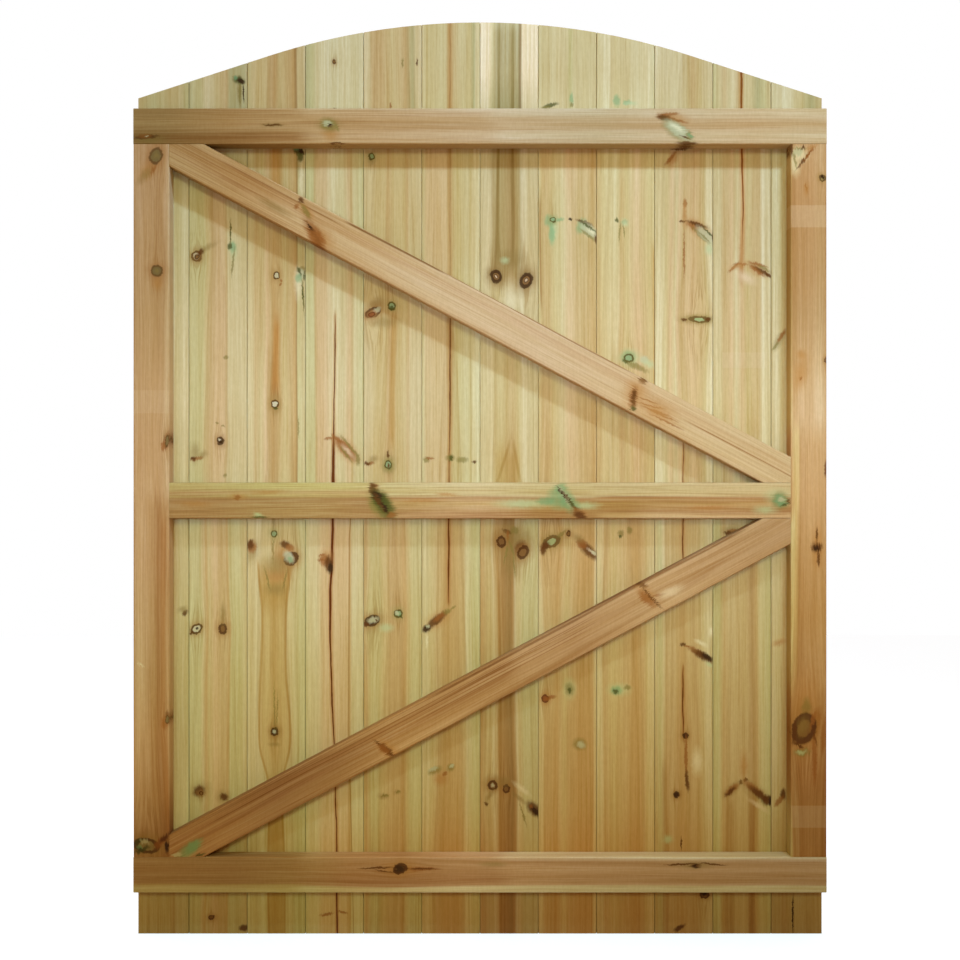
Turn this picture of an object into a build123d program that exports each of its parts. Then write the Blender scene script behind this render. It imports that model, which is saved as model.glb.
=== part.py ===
from build123d import *
import os
from math import acos, atan2, ceil, cos, degrees, hypot, radians, sin, tan

# Arch top garden gate leaf, framed, ledged and braced, as it hangs from its left stile.
#
# X runs across the leaf from the hanging stile, Y from the frame side to the boarded face,
# Z is up. The origin is the centre of the hanging stile's outer edge. Lengths are millimetres.
# Heights below are measured from the bottom ends of the boards, and every piece is moved down
# to the origin at the end.

# The leaf, and its arch: a round crown running out into straight shoulders
gate_width = 1350.0
crown_height = 1800.0
arch_rise = 150.0
shoulder_slope = 18.0

# Tongued, grooved and V-jointed boards
board_cover = 115.0
board_thickness = 16.0
joint_gap = 1.0
tongue_length = 6.5
tongue_thickness = 4.8
tongue_nose = 0.8
groove_side_fit = 0.25
groove_end_gap = 1.5
vee_depth = 3.0
back_arris = 0.5

# Planed bars of the frame and the braces
bar_width = 70.0
bar_depth = 45.0
bar_arris = 3.0

# Ends of the boards past the frame, below it and up to the foot of the arch
boards_below_frame = 92.0
boards_above_frame = 30.0

# How far each brace bears along the rail, at the frame's corner and at the middle rail
corner_seat = 68.0
middle_seat = 55.0

# Stub tenons
tenon_thickness = 15.0
tenon_length = 40.0
stile_tenon_outer_shoulder = 20.0
stile_tenon_inner_shoulder = 8.0
rail_tenon_shoulder = 10.0
tenon_fit = 0.25
mortise_end_gap = 2.0

# Where the pieces meet
frame_back = bar_depth / 2
arch_foot = crown_height - arch_rise
bottom_rail_height = boards_below_frame
top_rail_height = arch_foot - boards_above_frame - bar_width
stile_foot = bottom_rail_height + bar_width
stile_head = top_rail_height
origin_height = (stile_foot + stile_head) / 2
middle_rail_height = origin_height - bar_width / 2
hanging_inner = bar_width
closing_inner = gate_width - bar_width
groove_depth = tongue_length - joint_gap + groove_end_gap
groove_width = tongue_thickness + 2 * groove_side_fit


def panel_blank():
    """Everything inside the outline of the boarded panel, deep enough to trim any board."""
    middle = gate_width / 2
    slope = radians(shoulder_slope)
    crown_radius = (middle * tan(slope) - arch_rise) / (1 / cos(slope) - 1)
    reach = crown_radius * sin(slope)
    drop = crown_radius * (1 - cos(slope))
    left = (middle - reach, crown_height - drop)
    right = (middle + reach, crown_height - drop)
    with BuildSketch(Plane.XZ) as outline:
        with BuildLine():
            ThreePointArc(left, (middle, crown_height), right)
            Polyline(right, (gate_width, arch_foot), (gate_width, 0), (0, 0), (0, arch_foot), left)
        make_face()
    return extrude(outline.sketch, amount=frame_back + 2 * board_thickness, both=True)


def board_section(start, end, grooved, tongued):
    """Plan of one board from shoulder to shoulder, its back on the frame."""
    middle = board_thickness / 2
    width = end - start
    section = Pos(start + width / 2, middle) * Rectangle(width, board_thickness)
    matched = []
    if grooved:
        matched.append(start)
    if tongued:
        matched.append(end)
    for edge in matched:
        front = section.vertices().sort_by_distance(Vector(edge, board_thickness))[0]
        section = chamfer(front, vee_depth)
        back = section.vertices().sort_by_distance(Vector(edge, 0))[0]
        section = chamfer(back, back_arris)
    if grooved:
        section -= Pos(start + groove_depth / 2, middle) * Rectangle(groove_depth, groove_width)
    if tongued:
        tongue = Pos(end + tongue_length / 2, middle) * Rectangle(tongue_length, tongue_thickness)
        tongue = chamfer(tongue.vertices().group_by(Axis.X)[-1], tongue_nose)
        section += tongue
    return section


def make_boards():
    """The boards from the hanging edge to the closing edge, the two outer ones ripped to one width."""
    count = ceil(gate_width / board_cover)
    ripped = (gate_width - (count - 2) * board_cover) / 2
    blank = panel_blank()
    boards = []
    for index in range(count):
        first = index == 0
        last = index == count - 1
        start = 0 if first else ripped + (index - 1) * board_cover + joint_gap / 2
        end = gate_width if last else ripped + index * board_cover - joint_gap / 2
        section = board_section(start, end, grooved=not first, tongued=not last)
        board = extrude(Pos(0, frame_back, 0) * section, amount=crown_height)
        boards.append(board & blank)
    return boards


def upright_bar(left, foot, head):
    """A planed bar standing between two heights, its left edge at the place given."""
    section = RectangleRounded(bar_width, bar_depth, bar_arris)
    return Pos(left + bar_width / 2, 0, foot) * extrude(section, amount=head - foot)


def level_bar(start, end, underside):
    """A planed bar lying between two places across the leaf."""
    section = Plane.YZ * RectangleRounded(bar_depth, bar_width, bar_arris)
    return Pos(start, 0, underside + bar_width / 2) * extrude(section, amount=end - start)


def box_between(low, high):
    """A square-edged block from its lowest to its highest corner."""
    size = [top - bottom for bottom, top in zip(low, high)]
    return Pos(*low) * Box(*size, align=(Align.MIN, Align.MIN, Align.MIN))


def stile_tenon(stile_left, shoulder, direction, spare=0.0, gap=0.0):
    """Tenon on one end of a stile, or with spare and gap the mortise that takes it."""
    hanging = stile_left < gate_width / 2
    outer = stile_tenon_outer_shoulder if hanging else stile_tenon_inner_shoulder
    inner = stile_tenon_inner_shoulder if hanging else stile_tenon_outer_shoulder
    half = tenon_thickness / 2 + spare
    tip = shoulder + direction * (tenon_length + gap)
    low = (stile_left + outer - spare, -half, min(shoulder, tip))
    high = (stile_left + bar_width - inner + spare, half, max(shoulder, tip))
    return box_between(low, high)


def rail_tenon(shoulder, direction, spare=0.0, gap=0.0):
    """Tenon on one end of the middle rail, or with spare and gap the mortise that takes it."""
    half = tenon_thickness / 2 + spare
    tip = shoulder + direction * (tenon_length + gap)
    foot = middle_rail_height + rail_tenon_shoulder
    head = middle_rail_height + bar_width - rail_tenon_shoulder
    return box_between((min(shoulder, tip), -half, foot - spare), (max(shoulder, tip), half, head + spare))


def make_stile(left):
    """A stile tenoned into the top and bottom rails, with the middle rail's mortise in its inner edge."""
    stile = upright_bar(left, stile_foot, stile_head)
    stile += stile_tenon(left, stile_head, 1)
    stile += stile_tenon(left, stile_foot, -1)
    if left == 0:
        stile -= rail_tenon(hanging_inner, -1, tenon_fit, mortise_end_gap)
    else:
        stile -= rail_tenon(closing_inner, 1, tenon_fit, mortise_end_gap)
    return stile


def make_outer_rail(underside, mortise_face, direction):
    """The top or bottom rail, which runs over the stiles from edge to edge of the leaf."""
    rail = level_bar(0, gate_width, underside)
    for stile_left in (0, closing_inner):
        rail -= stile_tenon(stile_left, mortise_face, direction, tenon_fit, mortise_end_gap)
    return rail


def make_middle_rail():
    """The lock rail, tenoned between the stiles."""
    rail = level_bar(hanging_inner, closing_inner, middle_rail_height)
    rail += rail_tenon(hanging_inner, -1)
    rail += rail_tenon(closing_inner, 1)
    return rail


def make_brace(foot, head, rising):
    """A brace cut to fit one bay of the frame, from a corner at the hanging stile to the middle rail."""
    bay_width = closing_inner - hanging_inner
    bay_height = head - foot
    run = bay_width - corner_seat - middle_seat
    slope = acos(bar_width / hypot(run, bay_height)) - atan2(run, bay_height)
    across = Vector(sin(slope), 0, cos(slope)) * (bar_width / 2)
    if rising:
        edge = Vector(hanging_inner + corner_seat, 0, foot)
        centre_line = edge + Vector(-across.X, 0, across.Z)
        turn = -degrees(slope)
    else:
        edge = Vector(hanging_inner + corner_seat, 0, head)
        centre_line = edge + Vector(-across.X, 0, -across.Z)
        turn = degrees(slope)
    length = 2 * hypot(bay_width, bay_height)
    section = Plane.YZ * RectangleRounded(bar_depth, bar_width, bar_arris)
    bar = extrude(section, amount=length / 2, both=True)
    bar = Pos(*centre_line) * Rot(0, turn, 0) * bar
    bay = box_between((hanging_inner, -bar_depth, foot), (closing_inner, bar_depth, head))
    return bar & bay


def make_gate():
    """Every piece of the leaf by name, moved to the origin on the hanging stile."""
    middle_rail_top = middle_rail_height + bar_width
    pieces = {f"board_{number:02d}": board for number, board in enumerate(make_boards(), 1)}
    pieces["hanging_stile"] = make_stile(0)
    pieces["closing_stile"] = make_stile(closing_inner)
    pieces["top_rail"] = make_outer_rail(top_rail_height, stile_head, 1)
    pieces["middle_rail"] = make_middle_rail()
    pieces["bottom_rail"] = make_outer_rail(bottom_rail_height, stile_foot, -1)
    pieces["upper_brace"] = make_brace(middle_rail_top, top_rail_height, rising=False)
    pieces["lower_brace"] = make_brace(stile_foot, middle_rail_height, rising=True)
    to_origin = Pos(0, 0, -origin_height)
    return {name: to_origin * piece for name, piece in pieces.items()}


os.makedirs("parts", exist_ok=True)
for name, piece in make_gate().items():
    export_step(piece, f"parts/{name}.step")
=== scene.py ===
import math

import bpy
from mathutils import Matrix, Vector


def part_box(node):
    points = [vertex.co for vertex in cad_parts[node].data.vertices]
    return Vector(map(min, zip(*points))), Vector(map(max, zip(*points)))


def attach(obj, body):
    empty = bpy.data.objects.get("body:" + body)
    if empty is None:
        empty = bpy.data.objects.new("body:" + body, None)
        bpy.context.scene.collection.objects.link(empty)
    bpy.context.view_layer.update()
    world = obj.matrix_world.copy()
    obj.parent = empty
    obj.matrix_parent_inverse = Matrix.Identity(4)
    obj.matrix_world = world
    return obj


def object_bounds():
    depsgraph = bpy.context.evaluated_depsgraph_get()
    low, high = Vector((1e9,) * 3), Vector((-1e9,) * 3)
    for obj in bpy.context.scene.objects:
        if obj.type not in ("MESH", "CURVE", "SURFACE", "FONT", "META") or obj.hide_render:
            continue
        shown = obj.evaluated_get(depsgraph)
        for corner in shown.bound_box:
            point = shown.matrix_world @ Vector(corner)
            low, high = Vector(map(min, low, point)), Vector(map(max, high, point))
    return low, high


# Arch top garden gate leaf: the finish of its timbers, the nails in its boards, and the studio.
#
# Everything in Blender is in metres. Inside the materials a place on the leaf is in millimetres,
# across from the hanging edge of the boards and up from their feet. Colours are written as they
# look under plain light, with each channel from 0 to 255, and a tint is the share of light left.

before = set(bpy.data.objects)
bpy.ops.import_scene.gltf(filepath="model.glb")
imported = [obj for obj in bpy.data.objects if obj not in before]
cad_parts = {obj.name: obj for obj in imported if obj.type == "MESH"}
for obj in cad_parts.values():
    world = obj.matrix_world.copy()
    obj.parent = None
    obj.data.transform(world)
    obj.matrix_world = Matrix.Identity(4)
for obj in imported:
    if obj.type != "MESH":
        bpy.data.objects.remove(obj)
cad_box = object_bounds()
leaf_low, leaf_high = cad_box
leaf_width = (leaf_high.x - leaf_low.x) * 1000
leaf_middle = (leaf_low.x + leaf_high.x) / 2
bar_width = 70
bar_depth = 45
crown_height = 1800


# Shader maths

class Value:
    """A number that changes over a surface: one socket of a material, with arithmetic."""

    def __init__(self, finish, socket):
        self.finish = finish
        self.socket = socket

    def __add__(self, other):
        return self.finish.maths("ADD", self, other)

    def __radd__(self, other):
        return self.finish.maths("ADD", other, self)

    def __sub__(self, other):
        return self.finish.maths("SUBTRACT", self, other)

    def __rsub__(self, other):
        return self.finish.maths("SUBTRACT", other, self)

    def __mul__(self, other):
        return self.finish.maths("MULTIPLY", self, other)

    def __rmul__(self, other):
        return self.finish.maths("MULTIPLY", other, self)

    def __truediv__(self, other):
        return self.finish.maths("DIVIDE", self, other)

    def __rtruediv__(self, other):
        return self.finish.maths("DIVIDE", other, self)

    def __abs__(self):
        return self.finish.maths("ABSOLUTE", self)

    def root(self):
        return self.finish.maths("SQRT", self)

    def floor(self):
        return self.finish.maths("FLOOR", self)

    def fraction(self):
        return self.finish.maths("FRACT", self)


def paint(red, green, blue):
    """A colour as it looks, from 0 to 255, turned into the linear one that a shader takes."""
    def linear(channel):
        share = channel / 255
        return share / 12.92 if share <= 0.04045 else ((share + 0.055) / 1.055) ** 2.4
    return (linear(red), linear(green), linear(blue), 1.0)


def set_stops(ramp, interpolation, points):
    ramp.interpolation = interpolation
    while len(ramp.elements) < len(points):
        ramp.elements.new(1.0)
    for element, (place, colour) in zip(ramp.elements, points):
        element.position = place
        element.color = colour


class Finish:
    """A material under construction."""

    def __init__(self, name):
        self.material = bpy.data.materials.new(name)
        self.material.use_nodes = True
        self.tree = self.material.node_tree
        self.tree.nodes.clear()

    def feed(self, socket, value):
        if isinstance(value, Value):
            self.tree.links.new(value.socket, socket)
        elif isinstance(value, bpy.types.NodeSocket):
            self.tree.links.new(value, socket)
        else:
            socket.default_value = value

    def node(self, kind, settings=None, sockets=None, stops=None):
        """One node: its settings first, then the values or links of its sockets."""
        made = self.tree.nodes.new("ShaderNode" + kind)
        for name, value in (settings or {}).items():
            setattr(made, name, value)
        if stops:
            set_stops(made.color_ramp, *stops)
        for key, value in (sockets or {}).items():
            self.feed(made.inputs[key], value)
        return made

    def maths(self, operation, *terms):
        made = self.node("Math", {"operation": operation}, dict(enumerate(terms)))
        return Value(self, made.outputs[0])

    def vector_maths(self, operation, *terms):
        return self.node("VectorMath", {"operation": operation}, dict(enumerate(terms))).outputs[0]

    def mapped(self, way, place, scale, location=(0, 0, 0), rotation=(0, 0, 0)):
        """A place moved, turned and scaled."""
        sockets = {"Vector": place, "Location": location, "Rotation": rotation, "Scale": scale}
        return self.node("Mapping", {"vector_type": way}, sockets).outputs[0]

    def axes(self, place):
        """The three numbers of a place."""
        parts = self.node("SeparateXYZ", {}, {0: place})
        return [Value(self, parts.outputs[axis]) for axis in range(3)]

    def rise(self, value, low, high, bottom=0.0, top=1.0, shape="SMOOTHSTEP"):
        """Smooth step of a value from bottom at low to top at high."""
        made = self.node(
            "MapRange", {"interpolation_type": shape},
            {"Value": value, "From Min": low, "From Max": high, "To Min": bottom, "To Max": top})
        return Value(self, made.outputs["Result"])

    def ramp(self, value, low, high, points, interpolation="LINEAR"):
        """The colour that a value picks from a list of (value, colour), both ends of it held."""
        span = high - low
        stops = [((place - low) / span, colour) for place, colour in points]
        share = self.rise(value, low, high, shape="LINEAR")
        return self.node("ValToRGB", {}, {"Fac": share}, (interpolation, stops)).outputs[0]

    def profile(self, along, points):
        """A value that follows given points of (place along, value), with smooth bends between them."""
        places = [place for place, value in points]
        values = [value for place, value in points]
        low, high = min(values), max(values)
        span = max(high - low, 0.001)
        greys = [(place, ((value - low) / span,) * 3 + (1.0,)) for place, value in points]
        shade = self.ramp(along, min(places), max(places), greys, "CARDINAL")
        return Value(self, shade) * span + low

    def follow(self, along, line):
        """A number as it is, or a list of points as a value that runs through them."""
        return self.profile(along, line) if isinstance(line, list) else line

    def noise(self, place, detail=2.0, roughness=0.5):
        return self.node(
            "TexNoise", {"noise_dimensions": "3D"},
            {"Vector": place, "Scale": 1.0, "Detail": detail, "Roughness": roughness})

    def cloud(self, place, detail=2.0, roughness=0.5):
        """A noise as one number."""
        return Value(self, self.noise(place, detail, roughness).outputs["Fac"])

    def mix(self, factor, colour, other, way="MIX"):
        """The first colour with the factor's share of the other one laid over it."""
        made = self.node(
            "Mix", {"data_type": "RGBA", "blend_type": way, "clamp_factor": True},
            {0: factor, 6: colour, 7: other})
        return made.outputs[2]

    def surface(self, kind, sockets):
        """The shader that ends the material."""
        shader = self.node(kind, {}, sockets)
        output = self.node("OutputMaterial")
        self.tree.links.new(shader.outputs[0], output.inputs[0])
        return self.material


# Tones of the wood

PALE = paint(222, 209, 163)
CREAM = paint(213, 198, 148)
GREEN = paint(204, 194, 138)
MOSS = paint(188, 180, 128)
STRAW = paint(207, 188, 132)
TAN = paint(203, 177, 122)
PINK = paint(214, 187, 138)
HONEY = paint(199, 167, 108)
CARAMEL = paint(186, 151, 95)
BROWN = paint(170, 138, 84)
GREY = paint(152, 132, 84)

# Tones of the bars, which are redder
ROSE = paint(202, 168, 124)
BISCUIT = paint(195, 158, 110)
OAKEN = paint(184, 145, 96)
RUST = paint(172, 128, 80)
SHELL = paint(210, 182, 140)

# A place that was kept from the light
FADED = paint(228, 206, 172)

# Tints that the growth of the wood and its wear lay over its tones
LATE_WOOD = (0.74, 0.62, 0.46)
BROAD_STREAKS = (0.93, 0.87, 0.74)
FIBRES = (0.86, 0.78, 0.62)
KNOT_FIBRES = (0.66, 0.52, 0.32)
FINE_STREAKS = (0.84, 0.76, 0.62)
MOTTLE = (0.88, 0.85, 0.79)
WORN = (0.66, 0.5, 0.36)

# The dark line that ends each growth ring, by the share of the ring
RING_LINE = [
    (0.0, (0.3,) * 4), (0.12, (0.0,) * 4), (0.5, (0.1,) * 4), (0.88, (1.0,) * 4),
    (0.95, (1.0,) * 4), (1.0, (0.3,) * 4),
]

# Painted light and shade up the whole leaf, as (height, red, green, blue): the light falls off towards
# the foot, so the leaf is painted darker and browner there, and a little darker at the head
PAINTED_LIGHT_AND_SHADE_BY_HEIGHT = [
    (0, 0.676, 0.60, 0.315), (30, 0.725, 0.66, 0.36), (140, 0.87, 0.80, 0.46), (255, 0.923, 0.95, 0.65),
    (334, 0.955, 0.99, 0.75), (494, 0.972, 1.0, 0.79), (653, 1.007, 1.02, 0.90), (730, 1.017, 1.0, 0.93),
    (947, 0.958, 0.92, 0.86), (1060, 1.0, 0.99, 0.98), (1210, 0.98, 0.96, 0.94),
    (1360, 0.90, 0.88, 0.82), (1500, 0.906, 0.90, 0.86), (1740, 0.855, 0.87, 0.88),
]


def see_through(colour, cover):
    return (*colour[:3], cover)


# Knots: colours from the middle outwards, each with its share of cover. The outer edge of the
# rim of a knot lies at the share RIM of the pattern, and its halo runs on to 1.

RIM = 0.42


def knot_stops(core, rim, halo, thick=0.14, halo_cover=0.5):
    """A plain knot, with its rim so thick and its halo so strong."""
    return [
        (0.0, see_through(core, 1.0)),
        (RIM - thick - 0.05, see_through(core, 1.0)),
        (RIM - thick, see_through(rim, 0.95)),
        (RIM - 0.03, see_through(rim, 0.92)),
        (RIM + 0.03, see_through(halo, halo_cover)),
        (0.66, see_through(halo, halo_cover * 0.45)),
        (1.0, see_through(halo, 0.0)),
    ]


def eye_stops(heart, core, rim, halo):
    """A knot with a pale heart and dark rings round it."""
    return [
        (0.0, see_through(heart, 1.0)),
        (0.05, see_through(heart, 1.0)),
        (0.1, see_through(rim, 0.9)),
        (0.17, see_through(core, 1.0)),
        (0.23, see_through(rim, 0.97)),
        (RIM - 0.04, see_through(rim, 0.95)),
        (RIM + 0.03, see_through(halo, 0.6)),
        (0.66, see_through(halo, 0.28)),
        (1.0, see_through(halo, 0.0)),
    ]


def crisp_stops(colour, cover):
    """A stain that holds its strength nearly to its edge."""
    return [
        (0.0, see_through(colour, cover)),
        (0.5, see_through(colour, cover * 0.95)),
        (0.72, see_through(colour, cover * 0.5)),
        (1.0, see_through(colour, 0.0)),
    ]


def soft_stops(colour, cover):
    """A stain that fades away from its middle."""
    return [
        (0.0, see_through(colour, cover)),
        (0.3, see_through(colour, cover * 0.85)),
        (0.65, see_through(colour, cover * 0.35)),
        (1.0, see_through(colour, 0.0)),
    ]


KNOTS = {
    "pale": knot_stops(paint(196, 186, 142), paint(92, 60, 20), paint(166, 128, 66)),
    "green": knot_stops(paint(140, 160, 108), paint(92, 82, 34), paint(156, 150, 86), halo_cover=0.4),
    "lens": knot_stops(paint(160, 168, 108), paint(110, 84, 36), paint(150, 124, 58), thick=0.2),
    "brown": knot_stops(paint(128, 90, 42), paint(86, 50, 16), paint(160, 114, 54), thick=0.17),
    "dark": knot_stops(paint(66, 42, 14), paint(78, 48, 16), paint(150, 106, 48)),
    "red": knot_stops(paint(142, 84, 40), paint(108, 58, 24), paint(178, 128, 70)),
    "grey": knot_stops(paint(150, 130, 78), paint(98, 70, 28), paint(170, 136, 72)),
    "oval": knot_stops(paint(122, 102, 58), paint(106, 74, 36), paint(162, 112, 60), thick=0.1),
    "eye": eye_stops(paint(214, 186, 144), paint(146, 104, 54), paint(72, 44, 14), paint(146, 112, 58)),
}

STAINS = {
    "turquoise": crisp_stops(paint(118, 162, 108), 0.62),
    "lichen": crisp_stops(paint(188, 184, 140), 0.85),
    "moss": crisp_stops(paint(76, 78, 26), 0.85),
    "olive": crisp_stops(paint(130, 116, 52), 0.7),
    "soot": crisp_stops(paint(56, 34, 10), 0.95),
    "umber": crisp_stops(paint(96, 56, 18), 0.92),
    "rust": crisp_stops(paint(150, 92, 38), 0.8),
    "amber": soft_stops(paint(180, 128, 66), 0.75),
    "smoke": soft_stops(paint(142, 116, 58), 0.6),
    "mint": soft_stops(paint(186, 196, 142), 0.75),
    "milk": soft_stops(paint(226, 214, 168), 0.85),
    "sheen": soft_stops(paint(220, 194, 150), 0.75),
}

# How far the grain wanders and the growth rings waver, and the log's taper for each metre of it
GRAIN_WANDER = 9
RING_WAVER = 7
LOG_TAPER = 9

# The smallest knot that bends the grain, and the length of the bend and its push as shares of the knot
LEAST_BEND = 4
BEND_LENGTH = 3.2
BEND_PUSH = 0.85

# How long the change from one section of a timber to the next is, and how far the fibres fray it
SECTION_BLEND = 25
SECTION_FRAY = 110

# How far the outlines of knots and stains are shaken, the size of a stain against its pattern, and
# how far its edge runs out along the fibres of a bar and of a board
OUTLINE_SHAKE = 7
STAIN_REACH = 1.25
BAR_FEATHER = 22
BOARD_FEATHER = 8

# A size in depth at which a pattern runs right through its timber
RIGHT_THROUGH = 100000


class Timber(Finish):
    """The finish of one timber. Its grain runs at a slope, and bends round its knots.

    A knot or stain is its kind, its place across and up the leaf, its half width and half height,
    and its lean in degrees. The edge is a place on the timber's own edge, from which its stripes
    are measured.
    """

    def __init__(self, name, slope=90, edge=(0, 0), knots=()):
        super().__init__(name + "_timber")
        self.knots = knots
        self.feather = BOARD_FEATHER if name.startswith("board") else BAR_FEATHER
        turn = math.radians(slope)
        self.cosine, self.sine = math.cos(turn), math.sin(turn)
        self.edge = self.place_on_grain(*edge)[0]
        self.seed = 7.3 * sum(ord(letter) * (place + 1) for place, letter in enumerate(name))
        coordinates = self.node("TexCoord").outputs["Object"]
        feet = (-leaf_low.x * 1000, 0, -leaf_low.z * 1000)
        self.leaf = self.mapped("POINT", coordinates, (1000, 1000, 1000), feet)
        self.x, self.depth, self.height = self.axes(self.leaf)
        if slope == 90:
            side, self.along = self.x, self.height
        elif slope == 0:
            side, self.along = self.height, self.x
        else:
            self.along = self.x * self.cosine + self.height * self.sine
            side = self.height * self.cosine - self.x * self.sine
        self.straight = self.node(
            "CombineXYZ", {}, {0: side, 1: self.depth, 2: self.along}).outputs[0]
        self.bend_grain()

    def place_on_grain(self, x, height):
        """A place on the leaf as (across the grain, along the grain)."""
        if self.sine == 1:
            return x, height
        return height * self.cosine - x * self.sine, x * self.cosine + height * self.sine

    def bend_grain(self):
        """Grain that parts round each knot, and wanders slowly along the timber."""
        wander = self.noise(self.stretched(self.straight, 70, 420), detail=1.0).outputs["Color"]
        bent = self.vector_maths("MULTIPLY_ADD", wander, (GRAIN_WANDER, 0, 0), self.straight)
        bent = self.vector_maths("ADD", bent, (-GRAIN_WANDER / 2, 0, 0))
        self.near = None
        for kind, x, height, wide, tall, lean in self.knots:
            reach = max(wide, tall)
            if kind not in KNOTS or reach < LEAST_BEND:
                continue
            across, along = self.place_on_grain(x, height)
            nearby = self.mapped(
                "TEXTURE", self.straight, (reach, RIGHT_THROUGH, reach * BEND_LENGTH), (across, 0, along))
            square = self.node("VectorMath", {"operation": "DOT_PRODUCT"}, {0: nearby, 1: nearby})
            share = 1.0 / (Value(self, square.outputs["Value"]) + 1.0)
            self.near = share if self.near is None else self.near + share
            push = self.node("VectorMath", {"operation": "SCALE"}, {0: nearby, "Scale": share}).outputs[0]
            bent = self.vector_maths("MULTIPLY_ADD", push, (-BEND_PUSH * reach, 0, 0), bent)
        self.bent = bent
        self.grain = self.axes(bent)[0]
        if self.edge:
            self.grain = self.grain - self.edge

    def stretched(self, place, wide, long):
        """A place scaled so that a pattern is so wide across the grain and so long along it."""
        return self.mapped(
            "POINT", place, (1 / wide, 1 / wide, 1 / long), (self.seed, self.seed / 3, self.seed / 7))

    def streaks(self, wide, long, detail=2.0):
        return self.cloud(self.stretched(self.bent, wide, long), detail)

    def shade(self, mask, tint):
        """A tint laid over the timber where the mask is."""
        self.colour = self.mix(mask, self.colour, (*tint, 1.0), "MULTIPLY")

    def shade_by(self, value, low, high, tints):
        """Tints that follow a value, as (value, red, green, blue), over the whole timber."""
        stops = [(place, (*tint, 1.0)) for place, *tint in tints]
        self.colour = self.mix(1.0, self.colour, self.ramp(value, low, high, stops), "MULTIPLY")

    def grow(self, *sections, pith=(50, 90), ring=6.0, late=0.4):
        """The plain wood: stripes of tone across the timber, growth rings and streaks.

        A section is the place along the timber where it starts and its stripes, as (place from
        the timber's edge, tone). The pith is so far across and behind the face.
        """
        self.colour = None
        fibres = self.streaks(4.5, 320, 3.0)
        frayed = self.along + fibres * SECTION_FRAY - SECTION_FRAY / 2
        for start, stripes in sections:
            tones = self.ramp(self.grain, stripes[0][0], stripes[-1][0], stripes)
            if self.colour is None:
                self.colour = tones
            else:
                begun = self.rise(frayed, start - SECTION_BLEND, start + SECTION_BLEND)
                self.colour = self.mix(begun, self.colour, tones)
        across = self.grain - pith[0]
        behind = self.depth - (bar_depth / 2 + pith[1])
        wavering = self.streaks(34, 500, 1.0) * RING_WAVER
        radius = (across * across + behind * behind).root() + self.along * (LOG_TAPER / 1000) + wavering
        rings = radius / ring
        own = Value(self, self.node(
            "TexWhiteNoise", {"noise_dimensions": "1D"}, {"W": rings.floor() + self.seed}).outputs["Value"])
        line = Value(self, self.ramp(rings.fraction(), 0, 1, RING_LINE))
        self.shade(line * own * own * late, LATE_WOOD)
        self.shade(self.rise(self.streaks(19, 900), 0.34, 0.66) * 0.5, BROAD_STREAKS)
        self.shade(self.rise(fibres, 0.36, 0.7) * 0.62, FIBRES)
        if self.near is not None:
            torn = self.rise(self.streaks(1.6, 60, 1.0), 0.47, 0.6)
            self.shade(torn * self.rise(self.near, 0.12, 0.7, top=0.5), KNOT_FIBRES)
        self.fine = self.streaks(1.5, 70, 3.0)
        self.shade(self.rise(self.fine, 0.42, 0.72) * 0.5, FINE_STREAKS)

    def window(self, mask, low, high, fade):
        """A mask kept between two places along the timber."""
        if low is not None:
            mask = mask * self.rise(self.along, low - fade, low + fade)
        if high is not None:
            mask = mask * self.rise(self.along, high + fade, high - fade)
        return mask

    def band(self, tint, left, right, low=None, high=None, soft=2.0, cover=1.0, fade=30):
        """A tint between two edges, each a place or a list of points along the timber."""
        left = self.follow(self.along, left)
        right = self.follow(self.along, right)
        mask = self.rise(self.grain, left - soft, left + soft, top=cover)
        mask = mask * self.rise(self.grain, right + soft, right - soft)
        self.shade(self.window(mask, low, high, fade), tint)

    def line(self, tint, at, width, low=None, high=None, cover=1.0, fade=30):
        """A thin streak along the grain."""
        away = abs(self.grain - self.follow(self.along, at))
        mask = self.rise(away, width, width * 0.2, top=cover)
        self.shade(self.window(mask, low, high, fade), tint)

    def brush(self, cover, high=None, wide=2.4, long=240, fade=60):
        """Grain that stands out in fine dark and pale lines, as in wood worn by a wire brush."""
        lines = self.streaks(wide, long)
        dark = self.rise(lines, 0.5, 0.62, top=cover)
        self.shade(self.window(dark, None, high, fade), WORN)
        pale = self.rise(lines, 0.46, 0.34, top=cover * 0.55)
        self.colour = self.mix(self.window(pale, None, high, fade), self.colour, SHELL)

    def split(self, line, widths, dark=(0.2, 0.09, 0.05), glow=(0.8, 0.55, 0.36), spread=5):
        """A crack with resin in it, through points of (along, across) and of (along, half width)."""
        wobble = self.cloud(self.stretched(self.straight, 12, 46), detail=3.0)
        place = self.profile(self.along, line)
        away = abs(self.axes(self.straight)[0] - self.edge - place + (wobble - 0.5) * 4)
        half = self.profile(self.along, widths)
        opened = self.rise(half, 0.0, 0.35)
        self.shade(self.rise(away, half + spread, half) * opened * 0.75, glow)
        self.shade(self.rise(away, half + 0.6, half - 0.3) * opened, dark)

    def strap(self, low, high, left=None, right=None, cover=0.3):
        """A pale patch straight across the timber, where something kept the light off it."""
        mask = self.rise(self.height, low - 1, low + 1, top=cover)
        mask = mask * self.rise(self.height, high + 1, high - 1)
        if left is not None:
            mask = mask * self.rise(self.x, left - 1, left + 1) * self.rise(self.x, right + 1, right - 1)
        self.colour = self.mix(mask, self.colour, FADED)

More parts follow.
